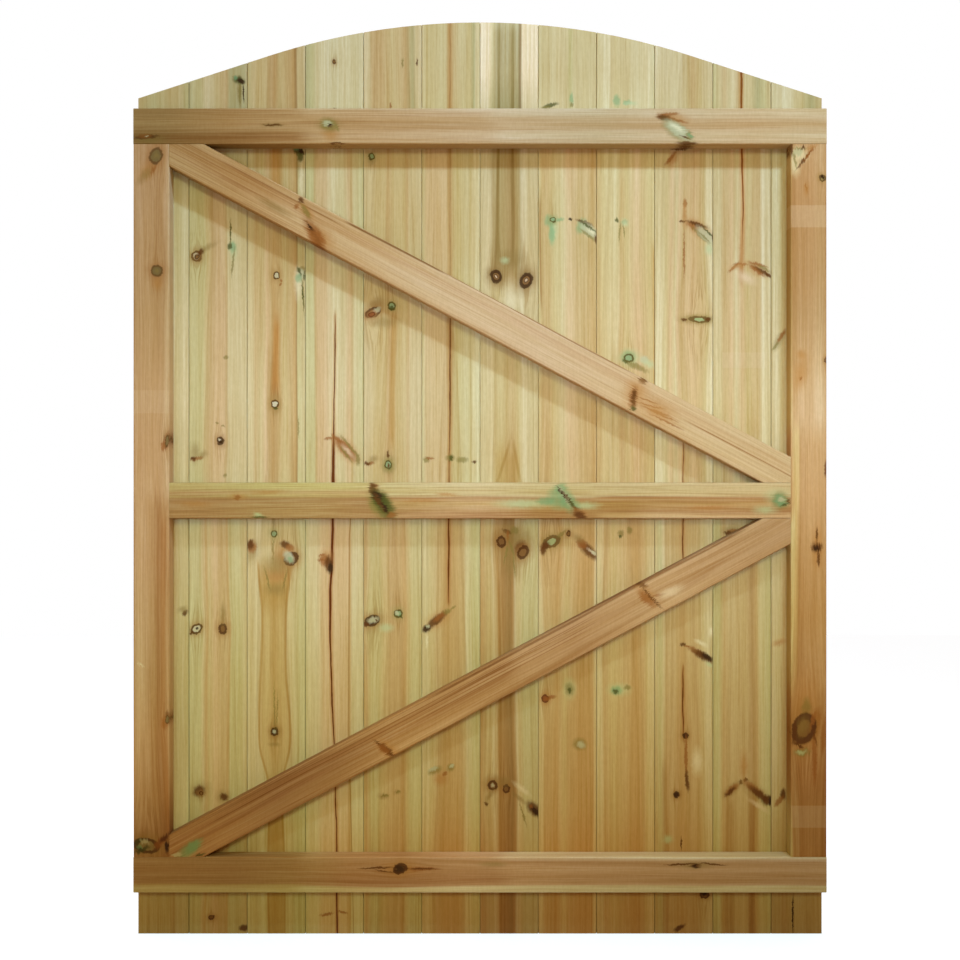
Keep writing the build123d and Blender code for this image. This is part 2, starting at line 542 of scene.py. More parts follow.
    def lay_knots(self):
        """Every knot and stain, each a ramp of colour about its own middle.

        The edge of a stain runs out along the fibres.
        """
        rough = self.noise(self.mapped("POINT", self.leaf, (0.16, 0.16, 0.16)), detail=3.0, roughness=0.6)
        shaken = self.vector_maths(
            "MULTIPLY_ADD", rough.outputs["Color"], (OUTLINE_SHAKE, 0, OUTLINE_SHAKE), self.leaf)
        pull = Vector((self.feather * self.cosine, 0, self.feather * self.sine))
        feathered = self.vector_maths("MULTIPLY_ADD", self.fine.socket, pull, shaken)
        for kind, x, height, wide, tall, lean in self.knots:
            middle = Vector((x + OUTLINE_SHAKE / 2, 0, height + OUTLINE_SHAKE / 2))
            if kind in KNOTS:
                stops, grown, place = KNOTS[kind], 1 / RIM, shaken
            else:
                stops, grown, place = STAINS[kind], STAIN_REACH, feathered
                middle += pull / 2
            nearby = self.mapped(
                "TEXTURE", place, (wide * grown, RIGHT_THROUGH, tall * grown), middle,
                (0, math.radians(-lean), 0))
            away = self.node("VectorMath", {"operation": "LENGTH"}, {0: nearby}).outputs["Value"]
            ramp = self.node("ValToRGB", {}, {"Fac": away}, ("LINEAR", stops))
            self.colour = self.mix(ramp.outputs["Alpha"], self.colour, ramp.outputs["Color"])

    def close(self, *shares):
        """Knots, the tints and the painted light and shade over the whole timber, and the planed surface.

        The shares lift or lower the tone along the timber, as (place along it, red, green, blue): partly the
        wood's own tone and partly painted light and shade.
        """
        self.lay_knots()
        # The shares: partly the wood's own tone, partly painted light and shade
        self.shade_by(self.along, shares[0][0], shares[-1][0], shares)
        mottle = self.cloud(self.mapped("POINT", self.leaf, (0.22, 0.22, 0.07)), detail=3.0, roughness=0.7)
        self.shade(self.rise(mottle, 0.32, 0.68, top=0.5), MOTTLE)
        # Painted light and shade by height: darker and browner towards the foot, a little darker at the head
        self.shade_by(self.height, 0, crown_height, PAINTED_LIGHT_AND_SHADE_BY_HEIGHT)
        ridges = self.cloud(self.stretched(self.straight, 0.9, 40))
        bump = self.node("Bump", {}, {"Height": ridges, "Strength": 0.35, "Distance": 0.0004})
        return self.surface("BsdfPrincipled", {
            "Base Color": self.colour, "Roughness": self.rise(self.fine, 0.3, 0.7, 0.66, 0.82),
            "Specular IOR Level": 0.1, "Normal": bump.outputs[0]})


# The boards, from the hanging edge to the closing edge. Their stripes change at the foot, behind the
# middle rail and above the top rail.

FOOT, MIDDLE, HEAD = 0, 850, 1585


def finish_board_01():
    board = Timber("board_01", knots=[
        ("umber", 92, 634, 5, 7, -40), ("smoke", 88, 640, 12, 8, 20),
    ])
    board.grow(
        (FOOT, [(0, STRAW), (60, STRAW), (70, TAN), (80, CREAM), (93, CREAM), (101, GREEN)]),
        (MIDDLE, [(0, CREAM), (60, CREAM), (67, PALE), (76, STRAW), (84, CREAM), (90, PALE), (101, CREAM)]),
        (HEAD, [(0, STRAW), (30, GREEN), (60, STRAW), (78, STRAW), (84, CREAM), (93, GREEN), (101, GREEN)]),
        pith=(-20, 60))
    return board.close(
        (55, 0.80, 0.80, 0.90), (140, 0.84, 0.84, 0.95), (220, 1.10, 1.12, 1.30), (310, 0.98, 0.98, 1.06),
        (390, 0.93, 0.91, 0.92), (690, 0.90, 0.88, 0.84), (850, 0.95, 0.95, 0.93), (1050, 1.02, 1.03, 1.10),
        (1350, 0.95, 1.00, 1.04))


def finish_board_02():
    board = Timber("board_02", knots=[
        ("smoke", 200, 1664, 7, 30, 0), ("olive", 201, 1660, 3, 26, 0), ("moss", 198, 1686, 12, 8, -20),
        ("soot", 203, 1684, 9, 5, -25), ("turquoise", 192, 1690, 4, 5, 0), ("soot", 208, 1660, 1.6, 18, 0),
        ("smoke", 130, 1352, 34, 7, 28), ("pale", 115, 1338, 11, 11, 25), ("brown", 116, 1337, 6, 5, 20),
        ("umber", 123, 1346, 8, 5, 52),
        ("mint", 188, 1350, 9, 20, 0), ("turquoise", 186, 1357, 8, 10, 0), ("moss", 181, 1358, 5, 6, 0),
        ("olive", 182, 1386, 2.2, 26, 0), ("moss", 182, 1384, 1.4, 20, 0), ("olive", 187, 1326, 2.2, 30, -6),
        ("dark", 162, 973, 7, 9, 0), ("milk", 161, 975, 3, 3, 0), ("olive", 156, 1009, 3.5, 2.5, 0),
        ("olive", 168, 1002, 4, 2, -20),
        ("smoke", 112, 950, 12, 24, 0), ("rust", 116, 938, 14, 4, 12), ("umber", 108, 938, 6, 4, 0),
        ("smoke", 128, 946, 12, 8, 40), ("olive", 171, 905, 4, 4, 0),
        ("olive", 173, 1138, 5, 4, 0),
        ("pale", 115, 602, 13, 10, 35), ("soot", 116, 603, 3, 3, 0), ("umber", 105, 594, 5, 3, 30),
        ("brown", 167, 602, 9, 11, 0), ("smoke", 167, 630, 6, 26, 0),
        ("smoke", 122, 282, 24, 20, 20), ("umber", 120, 281, 12, 11, 28), ("brown", 124, 277, 5, 4, 0),
        ("smoke", 168, 271, 16, 14, 0), ("umber", 169, 270, 9, 7, -24), ("brown", 145, 32, 6, 5, 0),
        ("umber", 208, 11, 10, 7, 0),
    ])
    board.grow(
        (FOOT, [(101, MOSS), (104, GREEN), (122, GREEN), (126, CREAM), (133, HONEY), (138, STRAW),
                (150, PINK), (160, TAN), (170, TAN), (174, HONEY), (178, GREEN), (196, GREEN), (212, STRAW),
                (216, MOSS)]),
        (MIDDLE, [(101, GREEN), (106, GREEN), (126, GREEN), (131, STRAW), (140, TAN), (152, PINK),
                  (166, PINK), (171, TAN), (175, CREAM), (190, CREAM), (216, CREAM)]),
        (HEAD, [(101, MOSS), (108, GREEN), (122, GREEN), (132, PALE), (142, CREAM), (152, STRAW), (172, TAN),
                (180, MOSS), (196, MOSS), (203, MOSS), (209, MOSS), (216, CREAM)]),
        pith=(150, 80))
    return board.close(
        (55, 0.92, 0.93, 1.13), (350, 1.00, 0.99, 1.08), (1050, 1.00, 1.00, 1.05), (1350, 1.00, 1.05, 1.13))


def finish_board_03():
    board = Timber("board_03", knots=[
        ("smoke", 318, 1520, 9, 40, 0), ("milk", 322, 1490, 6, 52, 0), ("moss", 316, 1546, 12, 8, -30),
        ("moss", 320, 1534, 6, 10, 0), ("soot", 322, 1545, 7, 4, -40), ("turquoise", 312, 1552, 6, 5, 0),
        ("pale", 273, 1300, 7, 8, 0), ("rust", 282, 1290, 2.5, 4, 0), ("rust", 281, 1283, 3, 2.5, 0),
        ("milk", 316, 1286, 9, 36, 0), ("olive", 322, 1312, 9, 5, 20), ("lichen", 322, 1302, 8, 12, 0),
        ("turquoise", 317, 1294, 7, 9, 0), ("moss", 318, 1308, 3, 10, 20), ("moss", 328, 1300, 2, 10, 0),
        ("olive", 326, 1256, 2.4, 36, 3), ("moss", 325, 1262, 1.4, 26, 3),
        ("smoke", 270, 1046, 14, 22, 0), ("pale", 270, 1046, 8, 9, 0), ("moss", 271, 1037, 5, 2.5, 0),
        ("olive", 316, 1000, 1.5, 20, 0),
        ("smoke", 224, 752, 14, 28, -20), ("rust", 224, 764, 10, 13, 0), ("umber", 221, 768, 7, 10, 0),
        ("green", 268, 790, 7, 8, 0), ("smoke", 268, 812, 3, 30, 0), ("olive", 266, 758, 2, 26, 0),
        ("amber", 288, 748, 24, 26, 0), ("umber", 291, 768, 12, 7, -25), ("rust", 300, 762, 9, 7, -40),
        ("brown", 302, 740, 13, 16, -50), ("lichen", 297, 744, 14, 9, -52),
        ("turquoise", 300, 738, 7, 5, -50), ("amber", 272, 706, 28, 16, 0), ("olive", 255, 700, 2, 26, 14),
        ("olive", 290, 700, 2, 22, -12), ("smoke", 271, 680, 24, 14, 0), ("smoke", 272, 728, 30, 26, 0),
        ("smoke", 270, 399, 12, 18, 0), ("dark", 269, 399, 8, 9, 0), ("lichen", 269, 399, 4, 4, 0),
        ("olive", 269, 448, 1.4, 48, 1), ("olive", 274, 440, 1.2, 40, -2), ("smoke", 269, 374, 14, 5, 0),
    ])
    board.grow(
        (FOOT, [(216, CREAM), (228, STRAW), (242, CREAM), (252, STRAW), (290, STRAW), (300, STRAW),
                (316, GREEN), (331, GREEN)]),
        (MIDDLE, [(216, CREAM), (229, CREAM), (234, TAN), (246, STRAW), (256, PINK), (262, TAN),
                  (268, HONEY), (276, TAN), (288, STRAW), (302, TAN), (308, HONEY), (311, BROWN),
                  (313, GREEN), (331, CREAM)]),
        (HEAD, [(216, GREEN), (229, CREAM), (234, STRAW), (250, STRAW), (262, TAN), (270, HONEY),
                (278, STRAW), (300, TAN), (306, HONEY), (311, BROWN), (315, CREAM), (331, CREAM)]),
        pith=(270, 70))
    hollow = [(0, 256), (147, 255), (250, 258), (312, 256), (360, 245), (417, 243), (512, 245),
              (626, 248), (680, 245), (740, 240), (821, 236)]
    brim = [(0, 290), (147, 290), (250, 286), (312, 288), (360, 297), (417, 298), (512, 292),
            (626, 293), (680, 298), (740, 304), (821, 312)]
    board.band((0.93, 0.84, 0.70), hollow, brim, high=735, soft=2.5, fade=18)
    board.band((0.94, 0.88, 0.78), [(0, 262), (400, 262), (821, 262)], [(0, 276), (400, 280), (821, 276)],
               high=700, soft=5, cover=0.7)
    board.band((0.86, 0.76, 0.55), hollow, brim, low=640, high=712, soft=4, cover=0.85)
    board.band((0.88, 0.78, 0.62), 257, 287, high=300, soft=3)
    board.line((0.84, 0.72, 0.54), [(a, b + 1) for a, b in hollow], 3.5, high=735, fade=20)
    board.line((0.82, 0.70, 0.52), [(a, b - 1) for a, b in brim], 3.5, high=735, fade=20)
    board.line((0.88, 0.66, 0.42), 272, 9, low=1065, high=1215)
    board.line((0.90, 0.68, 0.42), 272, 16, low=1440, high=1600, cover=0.8)
    return board.close(
        (55, 1.00, 1.12, 1.38), (350, 1.00, 1.00, 1.12), (1050, 1.07, 1.10, 1.22), (1350, 1.00, 1.02, 1.06))


def finish_board_04():
    board = Timber("board_04", knots=[
        ("brown", 387, 1722, 4, 5, 0), ("umber", 388, 1628, 4, 3, 0),
        ("amber", 372, 742, 14, 20, 0), ("rust", 368, 738, 11, 12, 0), ("umber", 376, 730, 8, 17, 0),
        ("soot", 380, 722, 5, 12, 0), ("rust", 362, 748, 7, 2.5, 20), ("rust", 361, 738, 7, 2.5, 10),
        ("amber", 411, 956, 36, 18, -46), ("rust", 410, 957, 33, 11, -46), ("rust", 396, 974, 18, 3.5, -40),
        ("olive", 418, 962, 30, 2.5, -50), ("olive", 410, 948, 22, 2.2, -55),
        ("sheen", 414, 953, 20, 5, -48), ("olive", 434, 936, 4, 12, 0), ("rust", 376, 978, 10, 3, 8),
        ("rust", 372, 38, 14, 3, 10), ("rust", 404, 42, 10, 3, -10),
    ])
    board.grow(
        (FOOT, [(331, GREEN), (340, CREAM), (352, CREAM), (365, PINK), (392, PINK), (412, PINK),
                (417, HONEY), (421, CREAM), (448, CREAM)]),
        (MIDDLE, [(331, GREEN), (346, GREEN), (350, TAN), (356, PINK), (370, PINK), (386, PALE),
                  (404, CREAM), (416, PINK), (421, TAN), (425, CREAM), (448, GREEN)]),
        (HEAD, [(331, MOSS), (345, GREEN), (352, CREAM), (370, PALE), (385, CREAM), (410, PALE),
                (430, CREAM), (448, PALE)]),
        pith=(392, 55), late=0.3)
    board.line((0.68, 0.56, 0.42), [(0, 424), (300, 417), (393, 415), (778, 415), (821, 418)], 1.6, high=850)
    board.split([(0, 393), (226, 391), (393, 386), (521, 381), (659, 379), (738, 383), (985, 386),
                 (1240, 389)],
                [(0, 1.2), (110, 1.3), (200, 0.9), (330, 0.9), (520, 1.3), (620, 1.6), (760, 2.2),
                 (822, 1.8), (870, 3.0), (950, 2.4), (985, 1.2), (1020, 0.7), (1180, 0.9), (1240, 0.0)],
                dark=(0.24, 0.09, 0.04))
    return board.close(
        (55, 1.08, 1.18, 1.48), (350, 1.00, 1.00, 1.10), (1050, 1.03, 1.05, 1.12), (1350, 1.03, 1.10, 1.18))


def finish_board_05():
    board = Timber("board_05", knots=[
        ("smoke", 461, 1528, 8, 16, 0), ("green", 461, 1535, 7, 7, 0), ("rust", 498, 1636, 2, 7, 0),
        ("umber", 551, 1722, 2, 7, 0), ("olive", 522, 1720, 2, 10, 0),
        ("smoke", 470, 1244, 22, 14, 30), ("umber", 456, 1224, 9, 8, 20), ("brown", 464, 1227, 17, 10, 25),
        ("lichen", 472, 1232, 9, 5, 30), ("red", 461, 1223, 7, 5, 20),
        ("smoke", 486, 1208, 30, 14, 0), ("green", 501, 1240, 8, 9, 0), ("moss", 500, 1236, 5, 4, 0),
        ("rust", 458, 929, 9, 4, 8), ("umber", 452, 929, 6, 4, 0), ("smoke", 464, 937, 12, 8, 20),
        ("smoke", 494, 930, 16, 22, 0), ("olive", 494, 924, 11, 13, 0), ("green", 494, 926, 8, 9, 0),
        ("umber", 494, 925, 2.5, 5, 0), ("umber", 493, 948, 2.5, 8, 0),
        ("dark", 462, 618, 16, 11, 22), ("lichen", 464, 619, 12, 6, 22), ("umber", 470, 619, 2.5, 2.5, 0),
        ("umber", 450, 610, 6, 5, 30), ("mint", 490, 604, 16, 10, 0), ("green", 513, 632, 9, 9, -15),
        ("lichen", 511, 634, 4, 5, 0), ("moss", 519, 626, 5, 3, -40),
        ("smoke", 484, 271, 12, 7, 0), ("olive", 488, 273, 8, 3, 10), ("smoke", 511, 279, 8, 5, 0),
        ("olive", 513, 280, 5, 2.5, 15),
    ])
    board.grow(
        (FOOT, [(448, STRAW), (452, TAN), (462, GREEN), (474, GREEN), (482, STRAW), (496, TAN), (512, TAN),
                (520, HONEY), (527, STRAW), (536, GREEN), (562, GREEN)]),
        (MIDDLE, [(448, CREAM), (456, CREAM), (470, STRAW), (484, STRAW), (490, TAN), (500, STRAW),
                  (522, STRAW), (528, TAN), (533, CREAM), (562, CREAM)]),
        (HEAD, [(448, PALE), (456, CREAM), (461, TAN), (480, TAN), (500, STRAW), (526, TAN), (541, MOSS),
                (547, CREAM), (562, PALE)]),
        pith=(500, 62), late=0.45)
    board.line((0.86, 0.68, 0.44), 498, 9, low=960, high=1230, cover=0.8)
    return board.close(
        (55, 1.00, 0.98, 1.17), (350, 1.02, 0.95, 1.00), (1050, 1.02, 1.02, 1.10), (1350, 1.02, 1.01, 1.02))


def finish_board_06():
    board = Timber("board_06", knots=[
        ("olive", 569, 936, 6, 6, 0), ("rust", 576, 939, 8, 2.5, 0), ("olive", 616, 940, 9, 7, 0),
        ("moss", 618, 939, 4, 6, 0), ("olive", 640, 936, 12, 6, 0), ("umber", 664, 932, 5, 3, 0),
        ("amber", 592, 620, 34, 16, 36), ("umber", 588, 618, 27, 8, 38), ("rust", 596, 626, 16, 5, 38),
        ("soot", 569, 602, 9, 7, 40), ("lichen", 572, 607, 3.5, 3.5, 0), ("olive", 610, 636, 8, 5, 20),
        ("olive", 622, 644, 7, 2, 35), ("milk", 570, 578, 3, 16, 0),
        ("olive", 586, 322, 15, 7, 25), ("lichen", 583, 325, 10, 4, 20), ("olive", 617, 328, 9, 7, 40),
        ("lichen", 619, 331, 6, 3, 30), ("amber", 597, 306, 16, 16, 0), ("rust", 606, 316, 6, 4, 30),
    ])
    board.grow(
        (FOOT, [(562, CREAM), (573, CREAM), (577, STRAW), (590, TAN), (606, HONEY), (630, HONEY), (642, TAN),
                (648, CREAM), (662, GREEN), (678, GREEN)]),
        (MIDDLE, [(562, CREAM), (570, PINK), (590, PINK), (608, PINK), (614, TAN), (630, STRAW),
                  (650, CREAM), (656, STRAW), (661, PALE), (674, PALE), (678, CREAM)]),
        (HEAD, [(562, PALE), (570, STRAW), (606, CREAM), (614, HONEY), (622, TAN), (640, CREAM),
                (656, STRAW), (663, MOSS), (667, PALE), (678, PALE)]),
        pith=(618, 50))
    board.split([(640, 613), (740, 613), (880, 614), (1060, 616), (1240, 616)],
                [(640, 0.0), (680, 1.0), (760, 1.6), (822, 1.2), (900, 0.6), (960, 0.5), (1000, 0.9),
                 (1100, 1.1), (1200, 0.7), (1240, 0.2)], dark=(0.32, 0.16, 0.08), spread=7)
    return board.close(
        (55, 1.03, 0.96, 1.14), (350, 1.00, 0.97, 1.05), (1050, 0.98, 1.04, 1.05), (1350, 1.02, 1.05, 1.05))


def finish_board_07():
    board = Timber("board_07", knots=[
        ("smoke", 736, 1330, 34, 24, 0), ("milk", 736, 1250, 20, 40, 0), ("mint", 724, 1330, 10, 8, 0),
        ("smoke", 700, 1304, 14, 14, 0), ("smoke", 760, 1302, 14, 16, 0),
        ("eye", 707, 1298, 12, 14, 20), ("eye", 766, 1290, 13, 17, -28),
        ("smoke", 738, 776, 52, 44, 0), ("smoke", 738, 734, 26, 40, 0), ("umber", 728, 794, 11, 4, -20),
        ("smoke", 742, 776, 34, 30, 0), ("olive", 744, 796, 8, 8, -30), ("rust", 730, 786, 3, 12, 0),
        ("brown", 717, 774, 10, 12, 15), ("umber", 755, 762, 12, 15, -30), ("brown", 760, 753, 11, 15, -30),
        ("olive", 738, 760, 2, 22, 20), ("olive", 726, 748, 2, 20, -14), ("olive", 742, 728, 2, 24, 6),
        ("smoke", 702, 297, 20, 18, 0), ("brown", 700, 293, 10, 10, 0), ("lichen", 700, 293, 4, 4, 0),
        ("brown", 727, 286, 7, 9, 0), ("smoke", 724, 300, 14, 12, 0), ("umber", 687, 256, 4, 4, 0),
        ("smoke", 694, 272, 6, 18, -35), ("milk", 758, 286, 22, 6, -38), ("smoke", 752, 268, 22, 5, -40),
        ("umber", 781, 246, 19, 11, -52), ("soot", 784, 241, 12, 5, -52), ("rust", 776, 251, 5, 2.5, -50),
        ("olive", 760, 236, 2, 24, 16),
    ])
    board.grow(
        (FOOT, [(678, TAN), (682, HONEY), (694, STRAW), (702, STRAW), (706, CREAM), (714, HONEY),
                (722, CARAMEL), (736, BROWN), (741, CARAMEL), (747, CREAM), (752, STRAW), (760, GREEN),
                (793, GREEN)]),
        (MIDDLE, [(678, CREAM), (690, CREAM), (700, PALE), (712, STRAW), (720, STRAW), (740, TAN),
                  (750, STRAW), (757, PALE), (775, CREAM), (793, CREAM)]),
        (HEAD, [(678, CREAM), (692, CREAM), (700, GREEN), (710, MOSS), (732, MOSS), (744, MOSS), (750, MOSS),
                (755, GREY), (759, CREAM), (793, CREAM)]),
        pith=(736, 35), late=0.45)
    board.band((0.74, 0.69, 0.58),
               [(1200, 716), (1290, 712), (1330, 704), (1400, 702), (1550, 698), (1800, 700)],
               [(1200, 744), (1290, 754), (1340, 760), (1400, 756), (1550, 757), (1800, 757)],
               low=1285, high=1800, soft=4, cover=0.9)
    for place in (713, 741):
        board.line((0.72, 0.66, 0.5), place, 5, low=1330, high=1800)
    board.line((0.84, 0.76, 0.62), [(880, 712), (900, 716), (975, 734), (1000, 735)], 4, low=890, high=975)
    board.line((0.84, 0.76, 0.62), [(880, 754), (900, 751), (975, 740), (1000, 739)], 4, low=890, high=975)
    board.band((0.88, 0.78, 0.6), 712, 752, low=860, high=960, soft=9)
    board.band((0.92, 0.90, 0.85), 712, 744, high=740, soft=4, cover=0.9)
    board.line((0.82, 0.73, 0.58), 716, 4, high=700)
    return board.close(
        (55, 0.92, 0.84, 1.12), (350, 0.94, 0.88, 0.95), (1050, 1.00, 1.00, 1.00), (1450, 1.03, 1.05, 1.12),
        (1600, 1.01, 1.04, 1.12), (1700, 1.42, 1.45, 1.82))


def finish_board_08():
    board = Timber("board_08", knots=[
        ("moss", 814, 1636, 16, 4, 14), ("olive", 806, 1632, 9, 3, 10), ("turquoise", 856, 1650, 4, 11, 0),
        ("olive", 856, 1637, 4, 4, 0),
        ("mint", 820, 1388, 10, 30, -5), ("turquoise", 812, 1408, 11, 12, 0),
        ("turquoise", 817, 1382, 6, 20, 0), ("green", 819, 1410, 7, 6, 0),
        ("turquoise", 833, 1410, 8, 4, 10), ("soot", 854, 1411, 3.5, 3.5, 0),
        ("turquoise", 875, 1398, 9, 16, -20), ("umber", 882, 1404, 18, 4, -22),
        ("lichen", 892, 1388, 24, 11, -38), ("moss", 890, 1396, 22, 2.5, -36),
        ("olive", 888, 1380, 20, 3, -40), ("umber", 906, 1372, 5, 12, 10), ("milk", 896, 1386, 12, 4, -38),
        ("lens", 816, 774, 19, 12, 25), ("umber", 804, 766, 10, 8, 40), ("olive", 836, 790, 12, 4, 40),
        ("umber", 800, 758, 6, 10, 0),
        ("umber", 890, 756, 27, 10, -43), ("rust", 876, 770, 12, 9, -43), ("sheen", 896, 754, 13, 3, -38),
        ("lichen", 900, 752, 9, 2.5, -38), ("smoke", 870, 780, 16, 9, -30), ("brown", 850, 790, 5, 6, 0),
        ("red", 804, 464, 7, 9, 0), ("rust", 814, 466, 12, 4, 15),
        ("mint", 852, 484, 14, 22, 0), ("olive", 852, 482, 9, 13, 0), ("moss", 852, 480, 3, 6, 0),
        ("olive", 872, 374, 14, 12, 0), ("lichen", 875, 373, 9, 7, -20),
    ])
    board.grow(
        (FOOT, [(793, CREAM), (799, CREAM), (803, TAN), (815, TAN), (826, HONEY), (832, TAN), (842, STRAW),
                (850, TAN), (866, HONEY), (896, HONEY), (900, CREAM), (908, STRAW)]),
        (MIDDLE, [(793, STRAW), (800, TAN), (812, TAN), (822, STRAW), (838, CREAM), (850, PINK), (870, TAN),
                  (884, TAN), (896, HONEY), (904, TAN), (908, CREAM)]),
        (HEAD, [(793, CREAM), (812, CREAM), (832, PALE), (848, CREAM), (854, GREEN), (862, CREAM),
                (908, CREAM)]),
        pith=(840, 64))
    board.line((0.60, 0.38, 0.24), 796, 3, low=1240, high=1450, cover=0.7)
    # The shares at 1447 and 1520 lift the shadow under the top rail: painted light
    return board.close(
        (55, 1.02, 0.92, 1.10), (350, 0.98, 0.89, 0.89), (1050, 1.07, 1.06, 1.10), (1350, 1.12, 1.22, 1.34),
        (1447, 1.13, 1.22, 1.34), (1520, 1.20, 1.26, 1.42), (1700, 1.00, 1.00, 0.96))


def finish_board_09():
    board = Timber("board_09", knots=[
        ("turquoise", 945, 1646, 7, 12, 0), ("turquoise", 965, 1642, 8, 5, 0), ("mint", 972, 1640, 14, 5, 0),
        ("moss", 946, 1409, 4, 5, 0), ("olive", 960, 1406, 6, 4, 0), ("mint", 960, 1404, 9, 9, 0),
        ("olive", 951, 1385, 1.6, 22, -4), ("olive", 959, 1388, 1.4, 16, 8),
        ("mint", 972, 1138, 24, 18, 0), ("turquoise", 968, 1140, 14, 11, 0), ("green", 969, 1137, 10, 9, 0),
        ("moss", 962, 1130, 7, 3, -40), ("lichen", 1000, 1134, 9, 7, 0), ("mint", 1008, 1126, 16, 9, -20),
        ("olive", 985, 1120, 24, 6, -25),
        ("olive", 953, 790, 6, 7, 0), ("moss", 952, 784, 3, 3, 0), ("olive", 970, 797, 5, 8, 0),
        ("mint", 950, 482, 24, 14, 0), ("turquoise", 944, 480, 12, 9, 0), ("moss", 943, 478, 6, 5, 0),
        ("olive", 966, 486, 7, 5, 0),
    ])
    board.grow(
        (FOOT, [(908, CREAM), (916, CREAM), (922, TAN), (940, STRAW), (960, TAN), (985, HONEY), (1000, TAN),
                (1006, STRAW), (1016, CREAM), (1025, STRAW)]),
        (MIDDLE, [(908, TAN), (920, STRAW), (948, CREAM), (956, TAN), (966, STRAW), (985, PINK), (996, TAN),
                  (1010, STRAW), (1025, STRAW)]),
        (HEAD, [(908, CREAM), (930, PALE), (942, STRAW), (950, CREAM), (990, CREAM), (1008, PALE),
                (1025, GREEN)]),
        pith=(950, 75), late=0.35)
    board.line((0.86, 0.66, 0.42), 1020, 8, low=1040, high=1360, cover=0.7)
    # The share at 1520 lifts the shadow under the top rail: painted light
    return board.close(
        (55, 0.92, 0.81, 0.91), (350, 0.99, 0.91, 0.91), (1050, 1.07, 1.03, 1.03), (1350, 1.17, 1.25, 1.38),
        (1520, 1.20, 1.30, 1.46), (1700, 1.06, 1.08, 1.10))


def finish_board_10():
    board = Timber("board_10", knots=[
        ("amber", 1056, 1530, 22, 10, 55), ("rust", 1052, 1532, 18, 4, 50), ("umber", 1068, 1551, 18, 4, 0),
        ("rust", 1080, 1442, 4, 10, 0), ("amber", 1079, 1424, 5, 30, 0), ("rust", 1078, 1340, 1.8, 48, 0),
        ("umber", 1075, 1407, 7, 2.5, 10), ("amber", 1108, 1392, 38, 16, -34),
        ("amber", 1104, 1396, 26, 10, -30), ("rust", 1098, 1397, 18, 6, -28),
        ("umber", 1104, 1401, 22, 4, -18), ("olive", 1112, 1378, 24, 3.5, -46),
        ("lichen", 1121, 1379, 25, 9, -44), ("moss", 1126, 1385, 17, 1.8, -46),
        ("olive", 1118, 1376, 18, 1.8, -44), ("umber", 1136, 1372, 2.2, 13, 4),
        ("mint", 1128, 1352, 10, 13, 0), ("smoke", 1104, 1213, 34, 9, 0), ("lens", 1108, 1213, 22, 7, -3),
        ("umber", 1078, 1213, 6, 3, 0), ("umber", 1126, 1213, 6, 4, 0),
        ("umber", 1076, 571, 6, 4, 0), ("rust", 1084, 568, 6, 2, -20), ("rust", 1104, 556, 22, 6, -30),
        ("umber", 1116, 548, 24, 8, -30), ("soot", 1124, 546, 14, 5, -28), ("mint", 1128, 532, 9, 5, -20),
        ("milk", 1131, 596, 6, 12, 0), ("milk", 1112, 574, 16, 5, -28),
        ("dark", 1081, 391, 6, 7, 0), ("rust", 1082, 350, 3, 44, 0), ("umber", 1084, 302, 4, 22, 5),
        ("dark", 1063, 274, 6, 7, 0), ("lichen", 1046, 186, 6, 7, 0), ("mint", 1046, 186, 12, 10, 0),
        ("umber", 1073, 178, 1.8, 14, 0), ("milk", 1104, 340, 12, 28, 0), ("umber", 1069, 11, 13, 5, 32),
        ("brown", 1119, 76, 10, 7, 0), ("soot", 1119, 77, 5, 3, 0),
    ])
    board.grow(
        (FOOT, [(1025, STRAW), (1034, GREEN), (1040, CREAM), (1046, TAN), (1060, TAN), (1076, HONEY),
                (1090, TAN), (1104, TAN), (1116, STRAW), (1122, CREAM), (1132, CREAM), (1137, GREEN)]),
        (MIDDLE, [(1025, CREAM), (1032, PALE), (1040, CREAM), (1047, STRAW), (1056, PINK), (1066, CREAM),
                  (1072, PINK), (1080, TAN), (1100, PINK), (1112, TAN), (1118, STRAW), (1123, PALE),
                  (1137, PALE)]),
        (HEAD, [(1025, PALE), (1036, CREAM), (1072, CREAM), (1084, STRAW), (1094, TAN), (1110, STRAW),
                (1117, CREAM), (1137, CREAM)]),
        pith=(1078, 45))
    board.split([(370, 1077), (450, 1076), (531, 1076), (740, 1076), (860, 1076), (990, 1077)],
                [(370, 0.0), (400, 0.5), (450, 1.1), (500, 0.9), (540, 0.0), (720, 0.0), (745, 0.8),
                 (800, 0.8), (860, 0.6), (960, 0.4), (990, 0.0)], dark=(0.3, 0.15, 0.08), spread=4)
    board.band((0.82, 0.72, 0.60), 1036, 1048, high=330, soft=4, cover=0.85)
    return board.close(
        (55, 0.86, 0.80, 0.95), (350, 0.93, 0.86, 0.90), (1050, 1.13, 1.18, 1.28), (1350, 1.12, 1.18, 1.30),
        (1700, 1.04, 1.05, 1.08))


